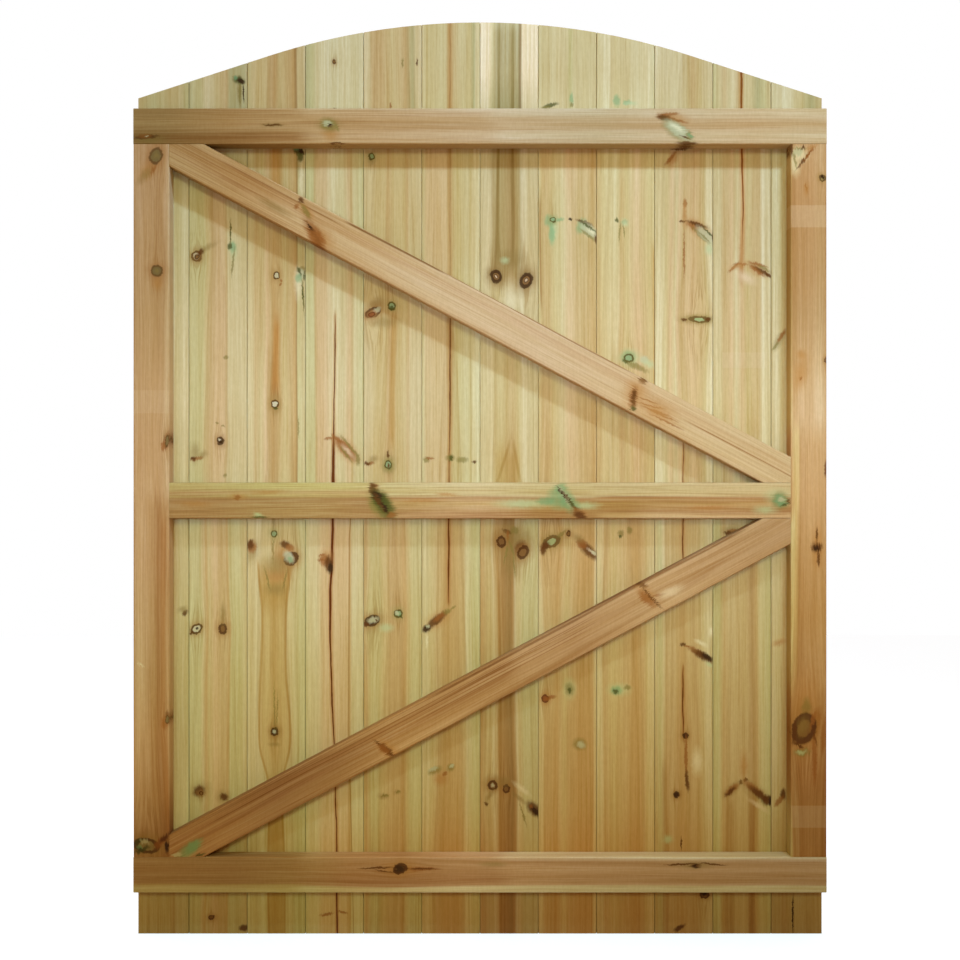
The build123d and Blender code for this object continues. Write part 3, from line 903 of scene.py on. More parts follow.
def finish_board_11():
    board = Timber("board_11", knots=[
        ("amber", 1192, 1340, 6, 60, 0), ("amber", 1190, 1312, 5, 30, 0), ("rust", 1190, 1322, 14, 3, 0),
        ("rust", 1176, 1316, 14, 3, 42), ("amber", 1184, 1318, 18, 7, 20),
        ("amber", 1224, 1312, 30, 12, -30), ("rust", 1224, 1322, 20, 3, -16),
        ("umber", 1232, 1308, 22, 4, -32), ("rust", 1222, 1310, 20, 4, -40),
        ("olive", 1236, 1314, 14, 3, -30), ("umber", 1245, 1301, 9, 3, -30),
        ("sheen", 1200, 1296, 24, 12, -30), ("smoke", 1172, 796, 20, 12, 0), ("rust", 1172, 794, 14, 6, 10),
        ("umber", 1164, 792, 8, 4, 0), ("umber", 1190, 299, 4, 5, 0), ("umber", 1200, 303, 5, 4, 0),
        ("amber", 1196, 330, 9, 34, 0), ("smoke", 1172, 284, 24, 11, 41), ("rust", 1172, 284, 19, 7, 42),
        ("umber", 1169, 280, 14, 4, 44), ("smoke", 1222, 278, 38, 15, -37), ("rust", 1218, 284, 28, 8, -36),
        ("umber", 1228, 274, 28, 7, -37), ("umber", 1242, 264, 10, 11, -20), ("soot", 1248, 262, 3, 10, 0),
        ("sheen", 1226, 252, 26, 5, -34),
    ])
    board.grow(
        (FOOT, [(1137, GREEN), (1146, GREEN), (1156, HONEY), (1166, TAN), (1180, TAN), (1200, TAN),
                (1214, CARAMEL), (1222, HONEY), (1228, STRAW), (1251, GREEN)]),
        (MIDDLE, [(1137, CREAM), (1150, CREAM), (1156, TAN), (1164, TAN), (1172, PINK), (1182, CREAM),
                  (1194, PINK), (1204, STRAW), (1214, TAN), (1226, TAN), (1232, PALE), (1251, CREAM)]),
        (HEAD, [(1137, GREEN), (1150, CREAM), (1158, TAN), (1166, CREAM), (1176, PALE), (1186, TAN),
                (1200, CREAM), (1210, STRAW), (1224, MOSS), (1234, GREEN), (1251, CREAM)]),
        pith=(1194, 58))
    board.split([(1290, 1193), (1340, 1193), (1440, 1195), (1500, 1193), (1560, 1192), (1720, 1191)],
                [(1290, 0.0), (1370, 0.3), (1420, 0.9), (1480, 1.1), (1560, 1.8), (1700, 2.0), (1720, 0.0)],
                dark=(0.42, 0.22, 0.09), glow=(0.9, 0.66, 0.44), spread=6)
    board.strap(1117, 1148, 1154, 1242, cover=0.09)
    for left, right in ((1160, 1176), (1206, 1219)):
        board.band((0.84, 0.74, 0.62), left, right, high=270, soft=4)
    return board.close(
        (55, 0.87, 0.88, 1.09), (350, 0.94, 0.93, 1.05), (1050, 1.07, 1.09, 1.12), (1350, 1.10, 1.17, 1.33),
        (1700, 1.05, 1.08, 1.12))


def finish_board_12():
    board = Timber("board_12", knots=[
        ("smoke", 1266, 1172, 26, 9, 58), ("rust", 1270, 1180, 16, 4, 58), ("olive", 1258, 1160, 10, 3, 50),
        ("amber", 1266, 575, 16, 7, 20), ("umber", 1274, 275, 6, 12, 0), ("rust", 1266, 262, 14, 5, 50),
        ("soot", 1293, 36, 1.8, 40, 0),
    ])
    board.grow(
        (FOOT, [(1251, CREAM), (1260, STRAW), (1268, STRAW), (1276, TAN), (1290, STRAW), (1350, STRAW)]),
        (MIDDLE, [(1251, CREAM), (1262, PALE), (1270, STRAW), (1280, CREAM), (1300, STRAW), (1350, STRAW)]),
        (HEAD, [(1251, CREAM), (1280, PALE), (1310, STRAW), (1330, MOSS), (1350, STRAW)]),
        pith=(1400, 60))
    return board.close(
        (55, 0.70, 0.65, 0.76), (350, 0.97, 0.93, 1.10), (1050, 1.05, 1.04, 1.06), (1350, 1.06, 1.13, 1.22))


# The frame and its braces

def finish_hanging_stile():
    bar = Timber("hanging_stile", knots=[
        ("amber", 30, 1500, 30, 15, 50), ("smoke", 24, 1490, 26, 9, 48), ("rust", 40, 1502, 12, 4, 60),
        ("oval", 44, 1527, 17, 13, 72), ("smoke", 45, 1527, 7, 9, 0),
        ("amber", 46, 1282, 12, 18, 0), ("oval", 46, 1303, 12, 12, -10), ("smoke", 46, 1303, 5, 5, 0),
        ("umber", 65, 972, 6, 17, -8), ("oval", 66, 972, 4, 12, -8), ("rust", 58, 962, 4, 10, 0),
        ("umber", 66, 432, 5, 13, 0), ("rust", 61, 424, 7, 13, 0), ("oval", 66, 430, 4, 9, 0),
        ("smoke", 26, 184, 36, 26, 0), ("grey", 26, 184, 27, 15, -10), ("moss", 16, 176, 17, 5, 20),
        ("moss", 10, 192, 12, 4, 40), ("lichen", 22, 192, 10, 5, -20), ("turquoise", 12, 182, 6, 4, 0),
        ("rust", 52, 190, 16, 8, 45), ("umber", 60, 198, 13, 5, 42), ("soot", 65, 182, 4, 12, 0),
        ("milk", 14, 536, 9, 1.6, -25),
    ])
    bar.grow(
        (0, [(0, OAKEN), (14, ROSE), (40, OAKEN), (50, RUST), (56, OAKEN), (70, BISCUIT)]),
        (860, [(0, BISCUIT), (10, ROSE), (38, ROSE), (48, BISCUIT), (58, ROSE), (64, SHELL), (70, SHELL)]),
        pith=(30, 40), ring=6.5, late=0.35)
    bar.brush(0.2)
    # Painted light on the inner side face, which faces the key lamp: lighter and a little bluer
    bar.shade(bar.rise(bar.x, bar_width - 1.2, bar_width - 0.4), (1.18, 1.24, 1.3))
    bar.strap(1026, 1071, cover=0.1)
    bar.line((0.84, 0.64, 0.44), 58, 8, low=150, high=820, cover=0.7)
    return bar.close(
        (202, 0.70, 0.62, 0.60), (280, 0.92, 0.87, 0.87), (397, 1.04, 1.04, 1.08), (515, 1.01, 1.06, 1.10),
        (960, 0.99, 0.99, 0.96), (1060, 0.94, 0.93, 0.85), (1217, 0.86, 0.88, 0.78),
        (1330, 0.93, 0.98, 0.97), (1450, 0.98, 1.06, 1.13))


def finish_closing_stile():
    bar = Timber("closing_stile", edge=(leaf_width - bar_width, 0), knots=[
        ("milk", 1296, 1530, 20, 16, 0), ("milk", 1288, 1508, 11, 22, 8), ("lichen", 1294, 1534, 12, 8, 20),
        ("olive", 1300, 1541, 14, 2.5, 0), ("umber", 1306, 1520, 26, 2.4, 52),
        ("rust", 1316, 1532, 16, 3, 50), ("olive", 1288, 1520, 2.5, 16, 12), ("umber", 1304, 1542, 4, 4, 0),
        ("amber", 1322, 1544, 16, 4, 30), ("umber", 1282, 1542, 3, 16, 0),
        ("grey", 1342, 1484, 7, 7, 0), ("soot", 1342, 1484, 3, 5, 30), ("soot", 1342, 1484, 5, 2, 0),
        ("rust", 1310, 1467, 1.6, 10, 10), ("amber", 1310, 1464, 6, 16, 0),
        ("amber", 1300, 1105, 14, 40, -10), ("rust", 1300, 1094, 3, 3, 0), ("amber", 1300, 1140, 10, 12, 40),
        ("umber", 1348, 918, 3, 14, 0), ("brown", 1349, 1130, 4, 6, 0),
        ("amber", 1332, 766, 12, 44, 0), ("umber", 1331, 766, 12, 10, 0), ("soot", 1330, 764, 8, 6, 0),
        ("umber", 1331, 790, 2.5, 14, 0), ("umber", 1334, 744, 3, 16, 0),
        ("amber", 1308, 440, 34, 90, -4), ("rust", 1330, 420, 8, 34, -12), ("rust", 1344, 400, 5, 36, -4),
        ("olive", 1310, 452, 9, 20, -8), ("brown", 1306, 412, 24, 32, -18),
        ("smoke", 1303, 417, 14, 22, -18), ("smoke", 1312, 452, 12, 10, -10),
        ("umber", 1287, 405, 5, 24, -6), ("umber", 1295, 381, 12, 3.5, -24),
        ("rust", 1324, 430, 4, 22, -16), ("umber", 1326, 398, 2.5, 18, 14), ("olive", 1302, 366, 17, 8, 5),
        ("mint", 1300, 366, 12, 5, 5), ("rust", 1326, 350, 5, 50, 0),
    ])
    bar.grow(
        (0, [(0, CREAM), (6, STRAW), (10, BISCUIT), (16, OAKEN), (34, BISCUIT), (50, OAKEN), (70, RUST)]),
        (480, [(0, CREAM), (7, CREAM), (11, TAN), (18, OAKEN), (40, BISCUIT), (56, BISCUIT), (70, OAKEN)]),
        (840, [(0, BISCUIT), (8, TAN), (14, TAN), (18, OAKEN), (40, BISCUIT), (56, BISCUIT), (70, OAKEN)]),
        (1000, [(0, STRAW), (5, BISCUIT), (20, ROSE), (44, ROSE), (60, SHELL), (70, BISCUIT)]),
        pith=(30, 38), ring=6.5, late=0.4)
    bar.brush(0.15)
    bar.band((0.84, 0.70, 0.54), -10, 80, low=1180, high=1500, cover=0.55, fade=120)
    bar.band((0.80, 0.62, 0.44), 20, 80, high=360, cover=0.6, fade=60)
    # Painted light on the inner side face and its arris low down: lighter and bluer
    bar.band((1.25, 1.4, 1.75), -20, 7, low=150, high=320, soft=1.5)
    bar.strap(1388, 1431, cover=0.22)
    bar.strap(219, 262, cover=0.16)
    return bar.close(
        (190, 0.85, 0.90, 1.05), (319, 0.86, 0.79, 0.76), (515, 0.96, 0.89, 0.83), (632, 0.93, 0.83, 0.65),
        (749, 1.00, 0.95, 0.80), (866, 1.22, 1.24, 1.25), (983, 1.30, 1.40, 1.52), (1100, 1.16, 1.20, 1.15),
        (1217, 1.02, 1.07, 0.98), (1471, 1.14, 1.14, 1.06))


def finish_top_rail():
    bar = Timber("top_rail", slope=0, edge=(0, 1550), knots=[
        ("smoke", 30, 1560, 36, 12, 0), ("umber", 25, 1564, 24, 4, 4), ("rust", 22, 1566, 14, 5, 0),
        ("milk", 24, 1566, 3, 2, 0),
        ("smoke", 272, 1587, 26, 5, 0), ("umber", 272, 1587, 20, 2.2, 0),
        ("amber", 384, 1570, 18, 20, 0), ("smoke", 381, 1588, 24, 15, 0), ("olive", 381, 1588, 17, 13, -20),
        ("lichen", 379, 1590, 10, 6, -20), ("umber", 384, 1586, 5, 4, -40), ("soot", 383, 1587, 2.5, 4, 30),
        ("olive", 398, 1582, 3, 8, 25), ("umber", 396, 1552, 16, 1.8, 0),
        ("amber", 1052, 1602, 34, 13, -10), ("rust", 1036, 1602, 18, 7, -15),
        ("umber", 1034, 1601, 14, 6, -14), ("rust", 1046, 1608, 17, 3, 4), ("rust", 1060, 1596, 20, 3, -14),
        ("olive", 1060, 1575, 35, 15, -36), ("lichen", 1061, 1577, 31, 11.5, -35),
        ("milk", 1058, 1582, 18, 5, -35), ("umber", 1076, 1563, 12, 2, -20), ("olive", 1084, 1567, 7, 8, 0),
        ("turquoise", 1086, 1567, 4, 5, 0), ("umber", 1078, 1552, 20, 3.5, 0),
    ])
    bar.grow(
        (0, [(0, OAKEN), (12, RUST), (26, OAKEN), (44, BISCUIT), (60, OAKEN), (70, BISCUIT)]),
        (330, [(0, BISCUIT), (16, ROSE), (30, BISCUIT), (38, OAKEN), (46, BISCUIT), (58, ROSE),
               (70, SHELL)]),
        (700, [(0, ROSE), (18, SHELL), (30, ROSE), (38, BISCUIT), (46, ROSE), (58, SHELL), (70, SHELL)]),
        pith=(34, 42), ring=6.0, late=0.3)
    bar.brush(0.2, high=700, fade=300)
    bar.brush(0.12)
    bar.band((0.74, 0.66, 0.52), 0, 26, high=300, cover=0.8, soft=10, fade=120)
    bar.band((0.96, 0.98, 0.92), 0, 80, low=1090, cover=0.7, fade=40)
    return bar.close(
        (60, 0.71, 0.84, 0.77), (180, 0.85, 0.92, 0.84), (300, 0.99, 1.10, 1.08), (450, 1.04, 1.14, 1.18),
        (680, 1.10, 1.27, 1.46), (900, 0.98, 1.14, 1.22), (1190, 1.12, 1.22, 1.32), (1300, 1.16, 1.32, 1.46))


def finish_middle_rail():
    bar = Timber("middle_rail", slope=0, edge=(0, 821), knots=[
        ("smoke", 484, 852, 34, 20, -50), ("rust", 468, 880, 10, 11, 0), ("umber", 466, 880, 7, 13, 0),
        ("olive", 470, 845, 12, 11, 0), ("olive", 484, 846, 36, 20, -56), ("moss", 488, 848, 32, 16, -56),
        ("moss", 480, 858, 18, 12, -50), ("soot", 474, 866, 13, 9, -40), ("umber", 480, 852, 24, 5, -56),
        ("soot", 490, 842, 14, 4, -58), ("rust", 503, 828, 9, 6, 0),
        ("mint", 760, 850, 60, 10, 0), ("mint", 880, 846, 30, 8, 0), ("turquoise", 830, 862, 24, 22, 10),
        ("turquoise", 834, 880, 12, 10, 0), ("turquoise", 850, 850, 26, 15, -45),
        ("turquoise", 804, 855, 18, 8, 0), ("lichen", 842, 864, 24, 5, -58),
        ("umber", 837, 868, 22, 2, -58), ("umber", 847, 860, 24, 2, -56), ("moss", 856, 846, 16, 4, -56),
        ("rust", 866, 832, 16, 10, -30), ("umber", 870, 827, 13, 7, -20), ("soot", 836, 870, 14, 1.6, -58),
        ("mint", 1254, 864, 26, 17, 0), ("olive", 1260, 856, 17, 17, 0), ("turquoise", 1260, 856, 14, 14, 0),
        ("turquoise", 1260, 856, 10, 10, 0), ("lichen", 1262, 858, 7, 6, 0),
        ("umber", 1276, 854, 3, 6, 0), ("moss", 1266, 848, 6, 3, 20), ("mint", 1230, 838, 26, 10, 0),
        ("mint", 240, 829, 9, 5, 0), ("moss", 246, 824, 15, 2.5, 0), ("amber", 204, 864, 20, 8, 0),
        ("rust", 202, 862, 6, 5, 0), ("amber", 260, 872, 40, 5, 2),
        ("amber", 120, 850, 40, 6, -2), ("amber", 560, 856, 50, 4, 1),
        ("amber", 610, 868, 26, 4, -4), ("amber", 1120, 842, 50, 5, 2),
    ])
    bar.grow(
        (0, [(0, OAKEN), (10, OAKEN), (26, OAKEN), (36, RUST), (43, TAN), (50, BISCUIT), (58, STRAW),
             (70, STRAW)]),
        (480, [(0, BISCUIT), (10, OAKEN), (28, HONEY), (38, OAKEN), (44, CREAM), (52, STRAW), (60, CREAM),
               (70, CREAM)]),
        (900, [(0, SHELL), (8, PINK), (14, OAKEN), (30, HONEY), (42, OAKEN), (46, PALE), (60, CREAM),
               (70, PALE)]),
        pith=(20, 30), ring=6.5, late=0.6)
    bar.brush(0.35, wide=3.2, long=150)
    bar.band((0.86, 0.80, 0.62), -10, 34, low=760, high=990, fade=40)
    return bar.close(
        (128, 0.82, 0.84, 0.72), (245, 0.88, 0.98, 0.84), (362, 0.96, 1.07, 0.95), (557, 1.01, 1.04, 1.08),
        (675, 1.07, 1.09, 1.22), (792, 0.95, 0.95, 0.92), (948, 0.90, 0.86, 0.80), (1182, 0.94, 0.87, 0.82))


def finish_bottom_rail():
    bar = Timber("bottom_rail", slope=0, edge=(0, 92), knots=[
        ("amber", 520, 140, 46, 16, 0), ("rust", 556, 139, 40, 4, 0), ("umber", 560, 139, 36, 1.8, -1),
        ("umber", 478, 141, 38, 2, 2), ("umber", 490, 134, 22, 1.6, -8), ("brown", 519, 139, 15, 11, 20),
        ("soot", 519, 139, 11, 8, 20), ("smoke", 1095, 146, 40, 9, 0), ("umber", 1095, 145, 10, 5, 0),
        ("soot", 1094, 144, 4, 5, 0), ("umber", 1065, 148, 32, 1.8, 3), ("umber", 1128, 148, 26, 1.8, -6),
        ("smoke", 700, 148, 30, 6, 0),
    ])
    bar.grow(
        (0, [(0, TAN), (10, TAN), (16, CARAMEL), (20, RUST), (40, RUST), (56, RUST), (66, RUST),
             (70, OAKEN)]),
        (330, [(0, CREAM), (12, CREAM), (16, OAKEN), (24, RUST), (46, OAKEN), (60, OAKEN), (66, BISCUIT),
               (70, SHELL)]),
        (720, [(0, CREAM), (12, CREAM), (16, BISCUIT), (24, OAKEN), (46, BISCUIT), (60, OAKEN), (66, SHELL),
               (70, PALE)]),
        pith=(36, 34), ring=6.0, late=0.3)
    bar.brush(0.18)
    # Painted light on the top face of the bottom rail, which faces the lamps above
    bar.shade(bar.rise(bar.height, 160.5, 161.5), (1.3, 1.25, 1.15))
    return bar.close(
        (60, 0.87, 1.04, 1.32), (200, 0.86, 1.05, 1.38), (300, 0.97, 1.27, 1.70), (420, 1.08, 1.20, 1.80),
        (645, 1.32, 1.60, 3.00), (860, 1.12, 1.36, 2.50), (1190, 0.98, 1.22, 2.25), (1300, 0.92, 1.16, 2.20))


def brace_slope():
    """The slope of the braces, from the bay that they fill and the length that each end bears."""
    corner_seat, middle_seat = 68, 55
    bay_width = leaf_width - 2 * bar_width
    bay_height = (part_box("top_rail")[0].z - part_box("middle_rail")[1].z) * 1000
    run = bay_width - corner_seat - middle_seat
    return math.degrees(math.acos(bar_width / math.hypot(run, bay_height)) - math.atan2(run, bay_height))


def finish_upper_brace():
    bar = Timber("upper_brace", slope=-brace_slope(), edge=(105, 1487), knots=[
        ("smoke", 275, 1428, 40, 9, -30), ("amber", 338, 1420, 26, 9, -55),
        ("olive", 337, 1418, 18, 5, -60), ("umber", 327, 1441, 6, 6, 0), ("rust", 318, 1428, 4, 7, 0),
        ("amber", 366, 1370, 34, 20, -50), ("rust", 352, 1376, 34, 13, -58), ("umber", 347, 1382, 20, 4, -60),
        ("umber", 360, 1360, 14, 5, -58), ("soot", 343, 1388, 8, 3, -60), ("rust", 357, 1365, 24, 13, -54),
        ("umber", 992, 1090, 8, 7, 0), ("umber", 995, 1092, 4, 4, 0), ("amber", 978, 1066, 26, 34, -8),
        ("rust", 974, 1056, 9, 24, -8), ("umber", 975, 1056, 5, 18, -6), ("moss", 973, 1035, 6, 5, 0),
        ("rust", 1004, 1050, 20, 1.8, -20), ("rust", 1010, 1040, 26, 2, -14),
        ("rust", 1018, 1030, 30, 2, -20), ("rust", 1030, 1022, 34, 2, -24),
        ("rust", 1036, 1010, 36, 2, -26), ("amber", 1020, 1030, 44, 20, -24),
    ])
    bar.grow(
        (-2000, [(0, ROSE), (14, SHELL), (30, ROSE), (44, BISCUIT), (58, ROSE), (70, SHELL)]),
        (-430, [(0, ROSE), (16, SHELL), (34, SHELL), (50, ROSE), (60, SHELL), (70, SHELL)]),
        pith=(30, 36), ring=7.5, late=0.4)
    bar.brush(0.5, high=-330, wide=3.0, long=200)
    bar.brush(0.2)
    bar.line((0.62, 0.46, 0.34), 58, 2.2, low=-560, high=-300, cover=0.8)
    bar.line((0.62, 0.44, 0.3), 36, 1.6, low=480, high=760, cover=0.9)
    bar.line((0.44, 0.31, 0.2), 68.4, 3.2, low=-290, high=-80, fade=15)
    bar.line((0.60, 0.46, 0.32), 68.6, 2.4, low=-70, high=330)
    return bar.close(
        (-640, 0.84, 0.87, 0.75), (-508, 0.87, 0.83, 0.66), (-377, 1.02, 1.04, 0.98),
        (-245, 1.04, 1.06, 1.02), (-113, 1.09, 1.17, 1.24), (150, 1.09, 1.16, 1.27), (413, 1.07, 1.09, 1.06),
        (545, 1.10, 1.18, 1.20))


def finish_lower_brace():
    bar = Timber("lower_brace", slope=brace_slope(), edge=(138, 162), knots=[
        ("umber", 990, 692, 12, 5, -20), ("amber", 1000, 672, 34, 14, -44),
        ("umber", 1009, 667, 30, 2.6, -46), ("rust", 1000, 664, 22, 8, -44), ("rust", 1024, 672, 14, 2.5, 10),
        ("sheen", 1046, 678, 28, 11, 20),
        ("amber", 496, 372, 34, 14, -36), ("umber", 484, 378, 20, 3, -38), ("umber", 492, 371, 17, 7, -38),
        ("umber", 498, 365, 18, 2.4, -30), ("rust", 488, 372, 14, 7, -38),
        ("turquoise", 110, 177, 29, 12, 38), ("turquoise", 117, 183, 20, 8, 40),
        ("lichen", 84, 166, 10, 4, 10), ("moss", 130, 167, 10, 3, 10),
    ])
    bar.grow(
        (0, [(0, OAKEN), (10, BISCUIT), (26, OAKEN), (36, RUST), (44, OAKEN), (52, RUST), (60, OAKEN),
             (70, BISCUIT)]),
        (900, [(0, BISCUIT), (20, ROSE), (36, BISCUIT), (44, ROSE), (52, BISCUIT), (62, ROSE), (70, SHELL)]),
        pith=(26, 30), ring=7.0, late=0.7)
    bar.brush(0.35, high=960, wide=3.0, long=260)
    bar.brush(0.22)
    bar.line((0.50, 0.36, 0.24), 68.2, 3.2, low=740, high=1420, cover=0.9)
    for place, low, high in (
            (66, 300, 1090), (58, 420, 1080), (51, 250, 900), (45, 480, 1080), (39, 700, 1060),
            (62, 120, 500), (55, 800, 1090)):
        bar.line((0.6, 0.43, 0.29), place, 1.3, low=low, high=high, cover=0.6)
    return bar.close(
        (245, 0.88, 0.83, 0.85), (378, 0.75, 0.66, 0.66), (508, 0.85, 0.78, 0.76), (641, 1.10, 1.08, 1.10),
        (1033, 0.93, 0.87, 0.90), (1240, 1.04, 1.05, 1.08), (1428, 0.88, 0.86, 0.82))


FINISHES = [
    finish_board_01, finish_board_02, finish_board_03, finish_board_04, finish_board_05, finish_board_06,
    finish_board_07, finish_board_08, finish_board_09, finish_board_10, finish_board_11, finish_board_12,
    finish_hanging_stile, finish_closing_stile, finish_top_rail, finish_middle_rail, finish_bottom_rail,
    finish_upper_brace, finish_lower_brace,
]

for make_finish in FINISHES:
    timber = make_finish()
    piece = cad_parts[timber.name.removesuffix("_timber")]
    piece.data.materials.clear()
    piece.data.materials.append(timber)


# The nails that hold the boards to the rails, with their heads on the boarded face

def finish_nail():
    nail = Finish("galvanised_nail")
    place = nail.node("TexCoord").outputs["Object"]
    dull = nail.rise(nail.cloud(nail.mapped("POINT", place, (900, 900, 900))), 0.35, 0.65)
    colour = nail.mix(dull, paint(150, 150, 146), paint(104, 102, 96))
    return nail.surface("BsdfPrincipled", {
        "Base Color": colour, "Metallic": 0.8, "Roughness": nail.rise(dull, 0, 1, 0.42, 0.6)})


def nail_group():
    """Geometry nodes for the nail heads: one on either side of every joint between two boards and
    one at each outer edge of the leaf, in a row over each rail."""
    group = bpy.data.node_groups.new("nail_rows", "GeometryNodeTree")
    for name, kind in (
            ("Joints", "Int"), ("Rows", "Int"), ("Joints Span", "Float"), ("Edges Span", "Float"),
            ("Rows Span", "Float"), ("To Joint", "Vector"), ("Middle", "Vector"), ("Stray", "Vector"),
            ("Head Radius", "Float"), ("Head Depth", "Float"), ("Seed", "Int"), ("Finish", "Material")):
        group.interface.new_socket(name=name, in_out="INPUT", socket_type="NodeSocket" + kind)
    group.interface.new_socket(name="Nails", in_out="OUTPUT", socket_type="NodeSocketGeometry")
    given = group.nodes.new("NodeGroupInput").outputs
    upright = (math.radians(90), 0, 0)

    def step(kind, sockets=None, settings=None):
        made = group.nodes.new(kind)
        for name, value in (settings or {}).items():
            setattr(made, name, value)
        for key, value in (sockets or {}).items():
            if isinstance(value, bpy.types.NodeSocket):
                group.links.new(value, made.inputs[key])
            else:
                made.inputs[key].default_value = value
        return made

    def reverse(vector):
        return step("ShaderNodeVectorMath", {0: vector, "Scale": -1.0}, {"operation": "SCALE"}).outputs[0]

    def rows(span, count):
        """Points in rows over the rails, stood up on the boarded face."""
        grid = step("GeometryNodeMeshGrid", {
            "Size X": span, "Size Y": given["Rows Span"], "Vertices X": count, "Vertices Y": given["Rows"]})
        return step("GeometryNodeTransform", {
            "Geometry": grid.outputs["Mesh"], "Translation": given["Middle"], "Rotation": upright}).outputs[0]

    def moved(points, way):
        return step("GeometryNodeTransform", {"Geometry": points, "Translation": way}).outputs[0]

    joints = rows(given["Joints Span"], given["Joints"])
    places = step("GeometryNodeJoinGeometry")
    for part in (
            moved(joints, given["To Joint"]), moved(joints, reverse(given["To Joint"])),
            rows(given["Edges Span"], 2)):
        group.links.new(part, places.inputs[0])
    stray = step("FunctionNodeRandomValue", {
        0: reverse(given["Stray"]), 1: given["Stray"], "Seed": given["Seed"]}, {"data_type": "FLOAT_VECTOR"})
    strayed = step("GeometryNodeSetPosition", {"Geometry": places.outputs[0], "Offset": stray.outputs[0]})
    head = step("GeometryNodeMeshCylinder", {
        "Vertices": 12, "Radius": given["Head Radius"], "Depth": given["Head Depth"]})
    nails = step("GeometryNodeInstanceOnPoints", {
        "Points": strayed.outputs[0], "Instance": head.outputs["Mesh"], "Rotation": upright})
    solid = step("GeometryNodeRealizeInstances", {0: nails.outputs[0]})
    finished = step("GeometryNodeSetMaterial", {"Geometry": solid.outputs[0], "Material": given["Finish"]})
    outlet = group.nodes.new("NodeGroupOutput")
    group.links.new(finished.outputs[0], outlet.inputs[0])
    return group


def make_nails():
    edge_distance = 0.025
    joint_distance = 0.022
    head_depth = 0.002
    head_proud = 0.0003
    first_joint, last_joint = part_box("board_02")[0].x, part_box("board_12")[0].x
    low_row, high_row = (sum(corner.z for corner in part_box(rail)) / 2 for rail in ("bottom_rail", "top_rail"))
    head_middle = leaf_high.y + head_proud - head_depth / 2
    values = {
        "Joints": 11, "Rows": 3, "Joints Span": last_joint - first_joint,
        "Edges Span": leaf_high.x - leaf_low.x - 2 * edge_distance, "Rows Span": high_row - low_row,
        "To Joint": (joint_distance, 0, 0), "Middle": (leaf_middle, head_middle, (low_row + high_row) / 2),
        "Stray": (0.0012, 0, 0.0015), "Head Radius": 0.0032, "Head Depth": head_depth, "Seed": 11,
        "Finish": finish_nail()}
    nails = bpy.data.objects.new("nails", bpy.data.meshes.new("nails"))
    bpy.context.scene.collection.objects.link(nails)
    modifier = nails.modifiers.new("nail_rows", "NODES")
    modifier.node_group = nail_group()
    for socket in modifier.node_group.interface.items_tree:
        if socket.in_out == "INPUT":
            modifier[socket.identifier] = values[socket.name]
    grown = nails.evaluated_get(bpy.context.evaluated_depsgraph_get())
    mesh = bpy.data.meshes.new_from_object(grown)
    nails.modifiers.clear()
    nails.data = mesh
    mesh.name = "nails"
    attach(nails, "root")


make_nails()


# The studio

def look_at(thing, place, target):
    thing.location = place
    direction = Vector(target) - Vector(place)
    thing.rotation_euler = direction.to_track_quat("-Z", "Y").to_euler()


def area_lamp(name, place, target, width, height, power, colour=(1.0, 1.0, 1.0), spread=180):
    data = bpy.data.lights.new(name, "AREA")
    data.shape = "ELLIPSE" if width == height else "RECTANGLE"
    data.size = width
    data.size_y = height
    data.energy = power
    data.color = colour
    data.spread = math.radians(spread)
    lamp = bpy.data.objects.new(name, data)
    bpy.context.scene.collection.objects.link(lamp)
    look_at(lamp, place, target)
    lamp.visible_camera = False


def make_camera():
    """The camera, square on to the leaf and aimed at the back of its boards."""
    view_height, view_distance, field_width = 0.896, 3.11, 1.8965
    data = bpy.data.cameras.new("camera")
    camera = bpy.data.objects.new("camera", data)
    bpy.context.scene.collection.objects.link(camera)
    middle = Vector((leaf_middle, bar_depth / 2000, leaf_low.z + view_height))
    look_at(camera, middle - Vector((0, view_distance, 0)), middle)
    data.sensor_width = 36.0
    data.lens = data.sensor_width * view_distance / field_width
    bpy.context.scene.camera = camera


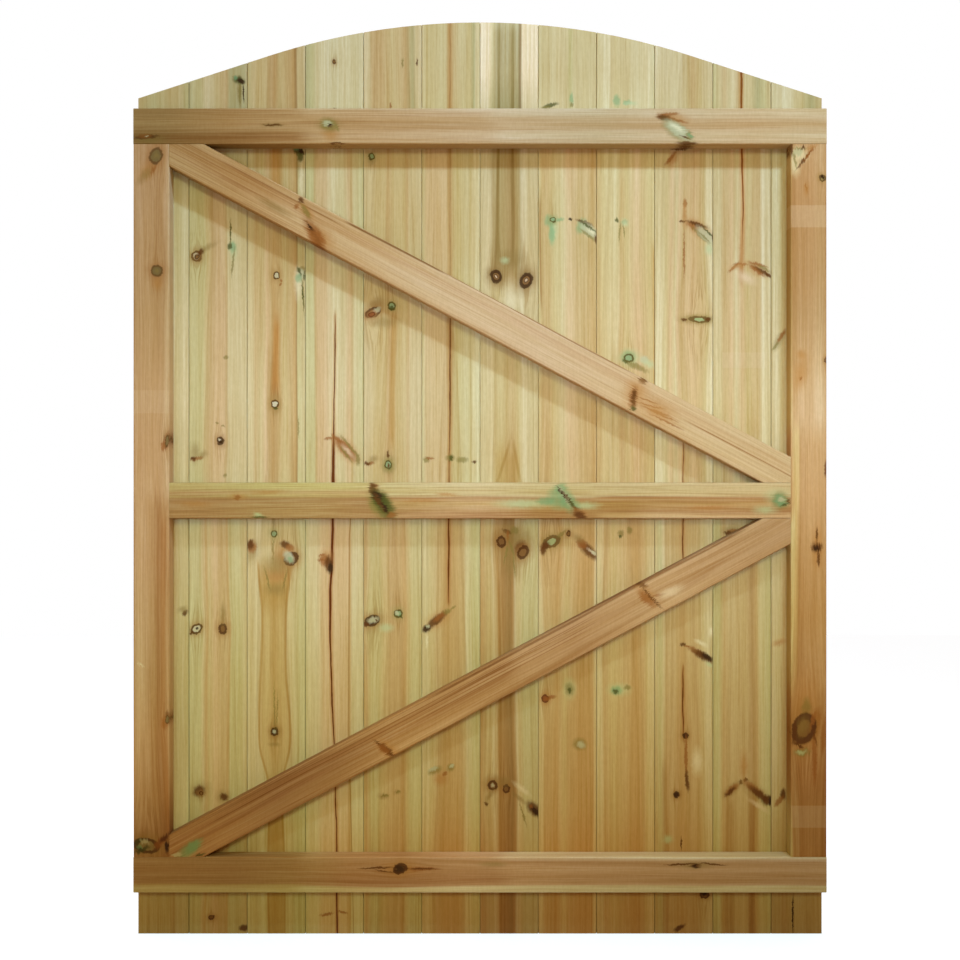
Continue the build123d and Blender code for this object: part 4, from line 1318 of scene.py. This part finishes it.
def make_floor():
    """A pale floor under the leaf, which the camera sees as white."""
    half = 6.0
    mesh = bpy.data.meshes.new("floor")
    corners = [(-half, -half), (half, -half), (half, half), (-half, half)]
    mesh.from_pydata([(x + leaf_middle, y, leaf_low.z) for x, y in corners], [], [(0, 1, 2, 3)])
    floor = bpy.data.objects.new("floor", mesh)
    bpy.context.scene.collection.objects.link(floor)
    finish = Finish("studio_floor")
    camera_ray = Value(finish, finish.node("LightPath").outputs["Is Camera Ray"])
    matt = finish.node("BsdfDiffuse", {}, {"Color": (0.8, 0.8, 0.8, 1.0)})
    glow = finish.node("Emission", {}, {"Color": (0.7, 0.9, 1.0, 1.0), "Strength": 0.87})
    lit = finish.node("AddShader", {}, {0: matt.outputs[0], 1: glow.outputs[0]})
    mesh.materials.append(finish.surface("MixShader", {0: camera_ray, 1: matt.outputs[0], 2: lit.outputs[0]}))


def make_world():
    """White where the camera looks past the leaf, and a soft warm light on the leaf."""
    world = bpy.data.worlds.new("studio")
    world.use_nodes = True
    tree = world.node_tree
    tree.nodes.clear()

    def background(colour, strength):
        made = tree.nodes.new("ShaderNodeBackground")
        made.inputs[0].default_value = (*colour, 1.0)
        made.inputs[1].default_value = strength
        return made.outputs[0]

    path = tree.nodes.new("ShaderNodeLightPath")
    chosen = tree.nodes.new("ShaderNodeMixShader")
    output = tree.nodes.new("ShaderNodeOutputWorld")
    tree.links.new(path.outputs["Is Camera Ray"], chosen.inputs[0])
    tree.links.new(background((1.0, 0.5, 0.272), 0.456), chosen.inputs[1])
    tree.links.new(background((1.0, 1.0, 1.0), 1.0), chosen.inputs[2])
    tree.links.new(chosen.outputs[0], output.inputs[0])
    bpy.context.scene.world = world


make_camera()
make_floor()
make_world()
area_lamp("key", place=(1.69, -1.85, 2.35), target=(0.75, 0, 1.1), width=0.3, height=0.3, power=13.5,
          colour=(0.395, 0.63, 1.0), spread=70)
area_lamp("strip", place=(0.72, -2.0, 0.12), target=(0.72, 0, 0.02), width=2.4, height=0.3, power=3.8,
          colour=(0.435, 0.7, 1.0), spread=44)
area_lamp("flash", place=(1.1, -8.0, 2.4), target=(0.675, 0, 0), width=1.4, height=1.4, power=186.0,
          colour=(0.88, 1.0, 0.75))
area_lamp("back_light", place=(0.2, 2.2, 1.2), target=(0.675, 0, 0), width=1.2, height=1.2, power=30.0)
bpy.context.scene.view_settings.view_transform = "Standard"
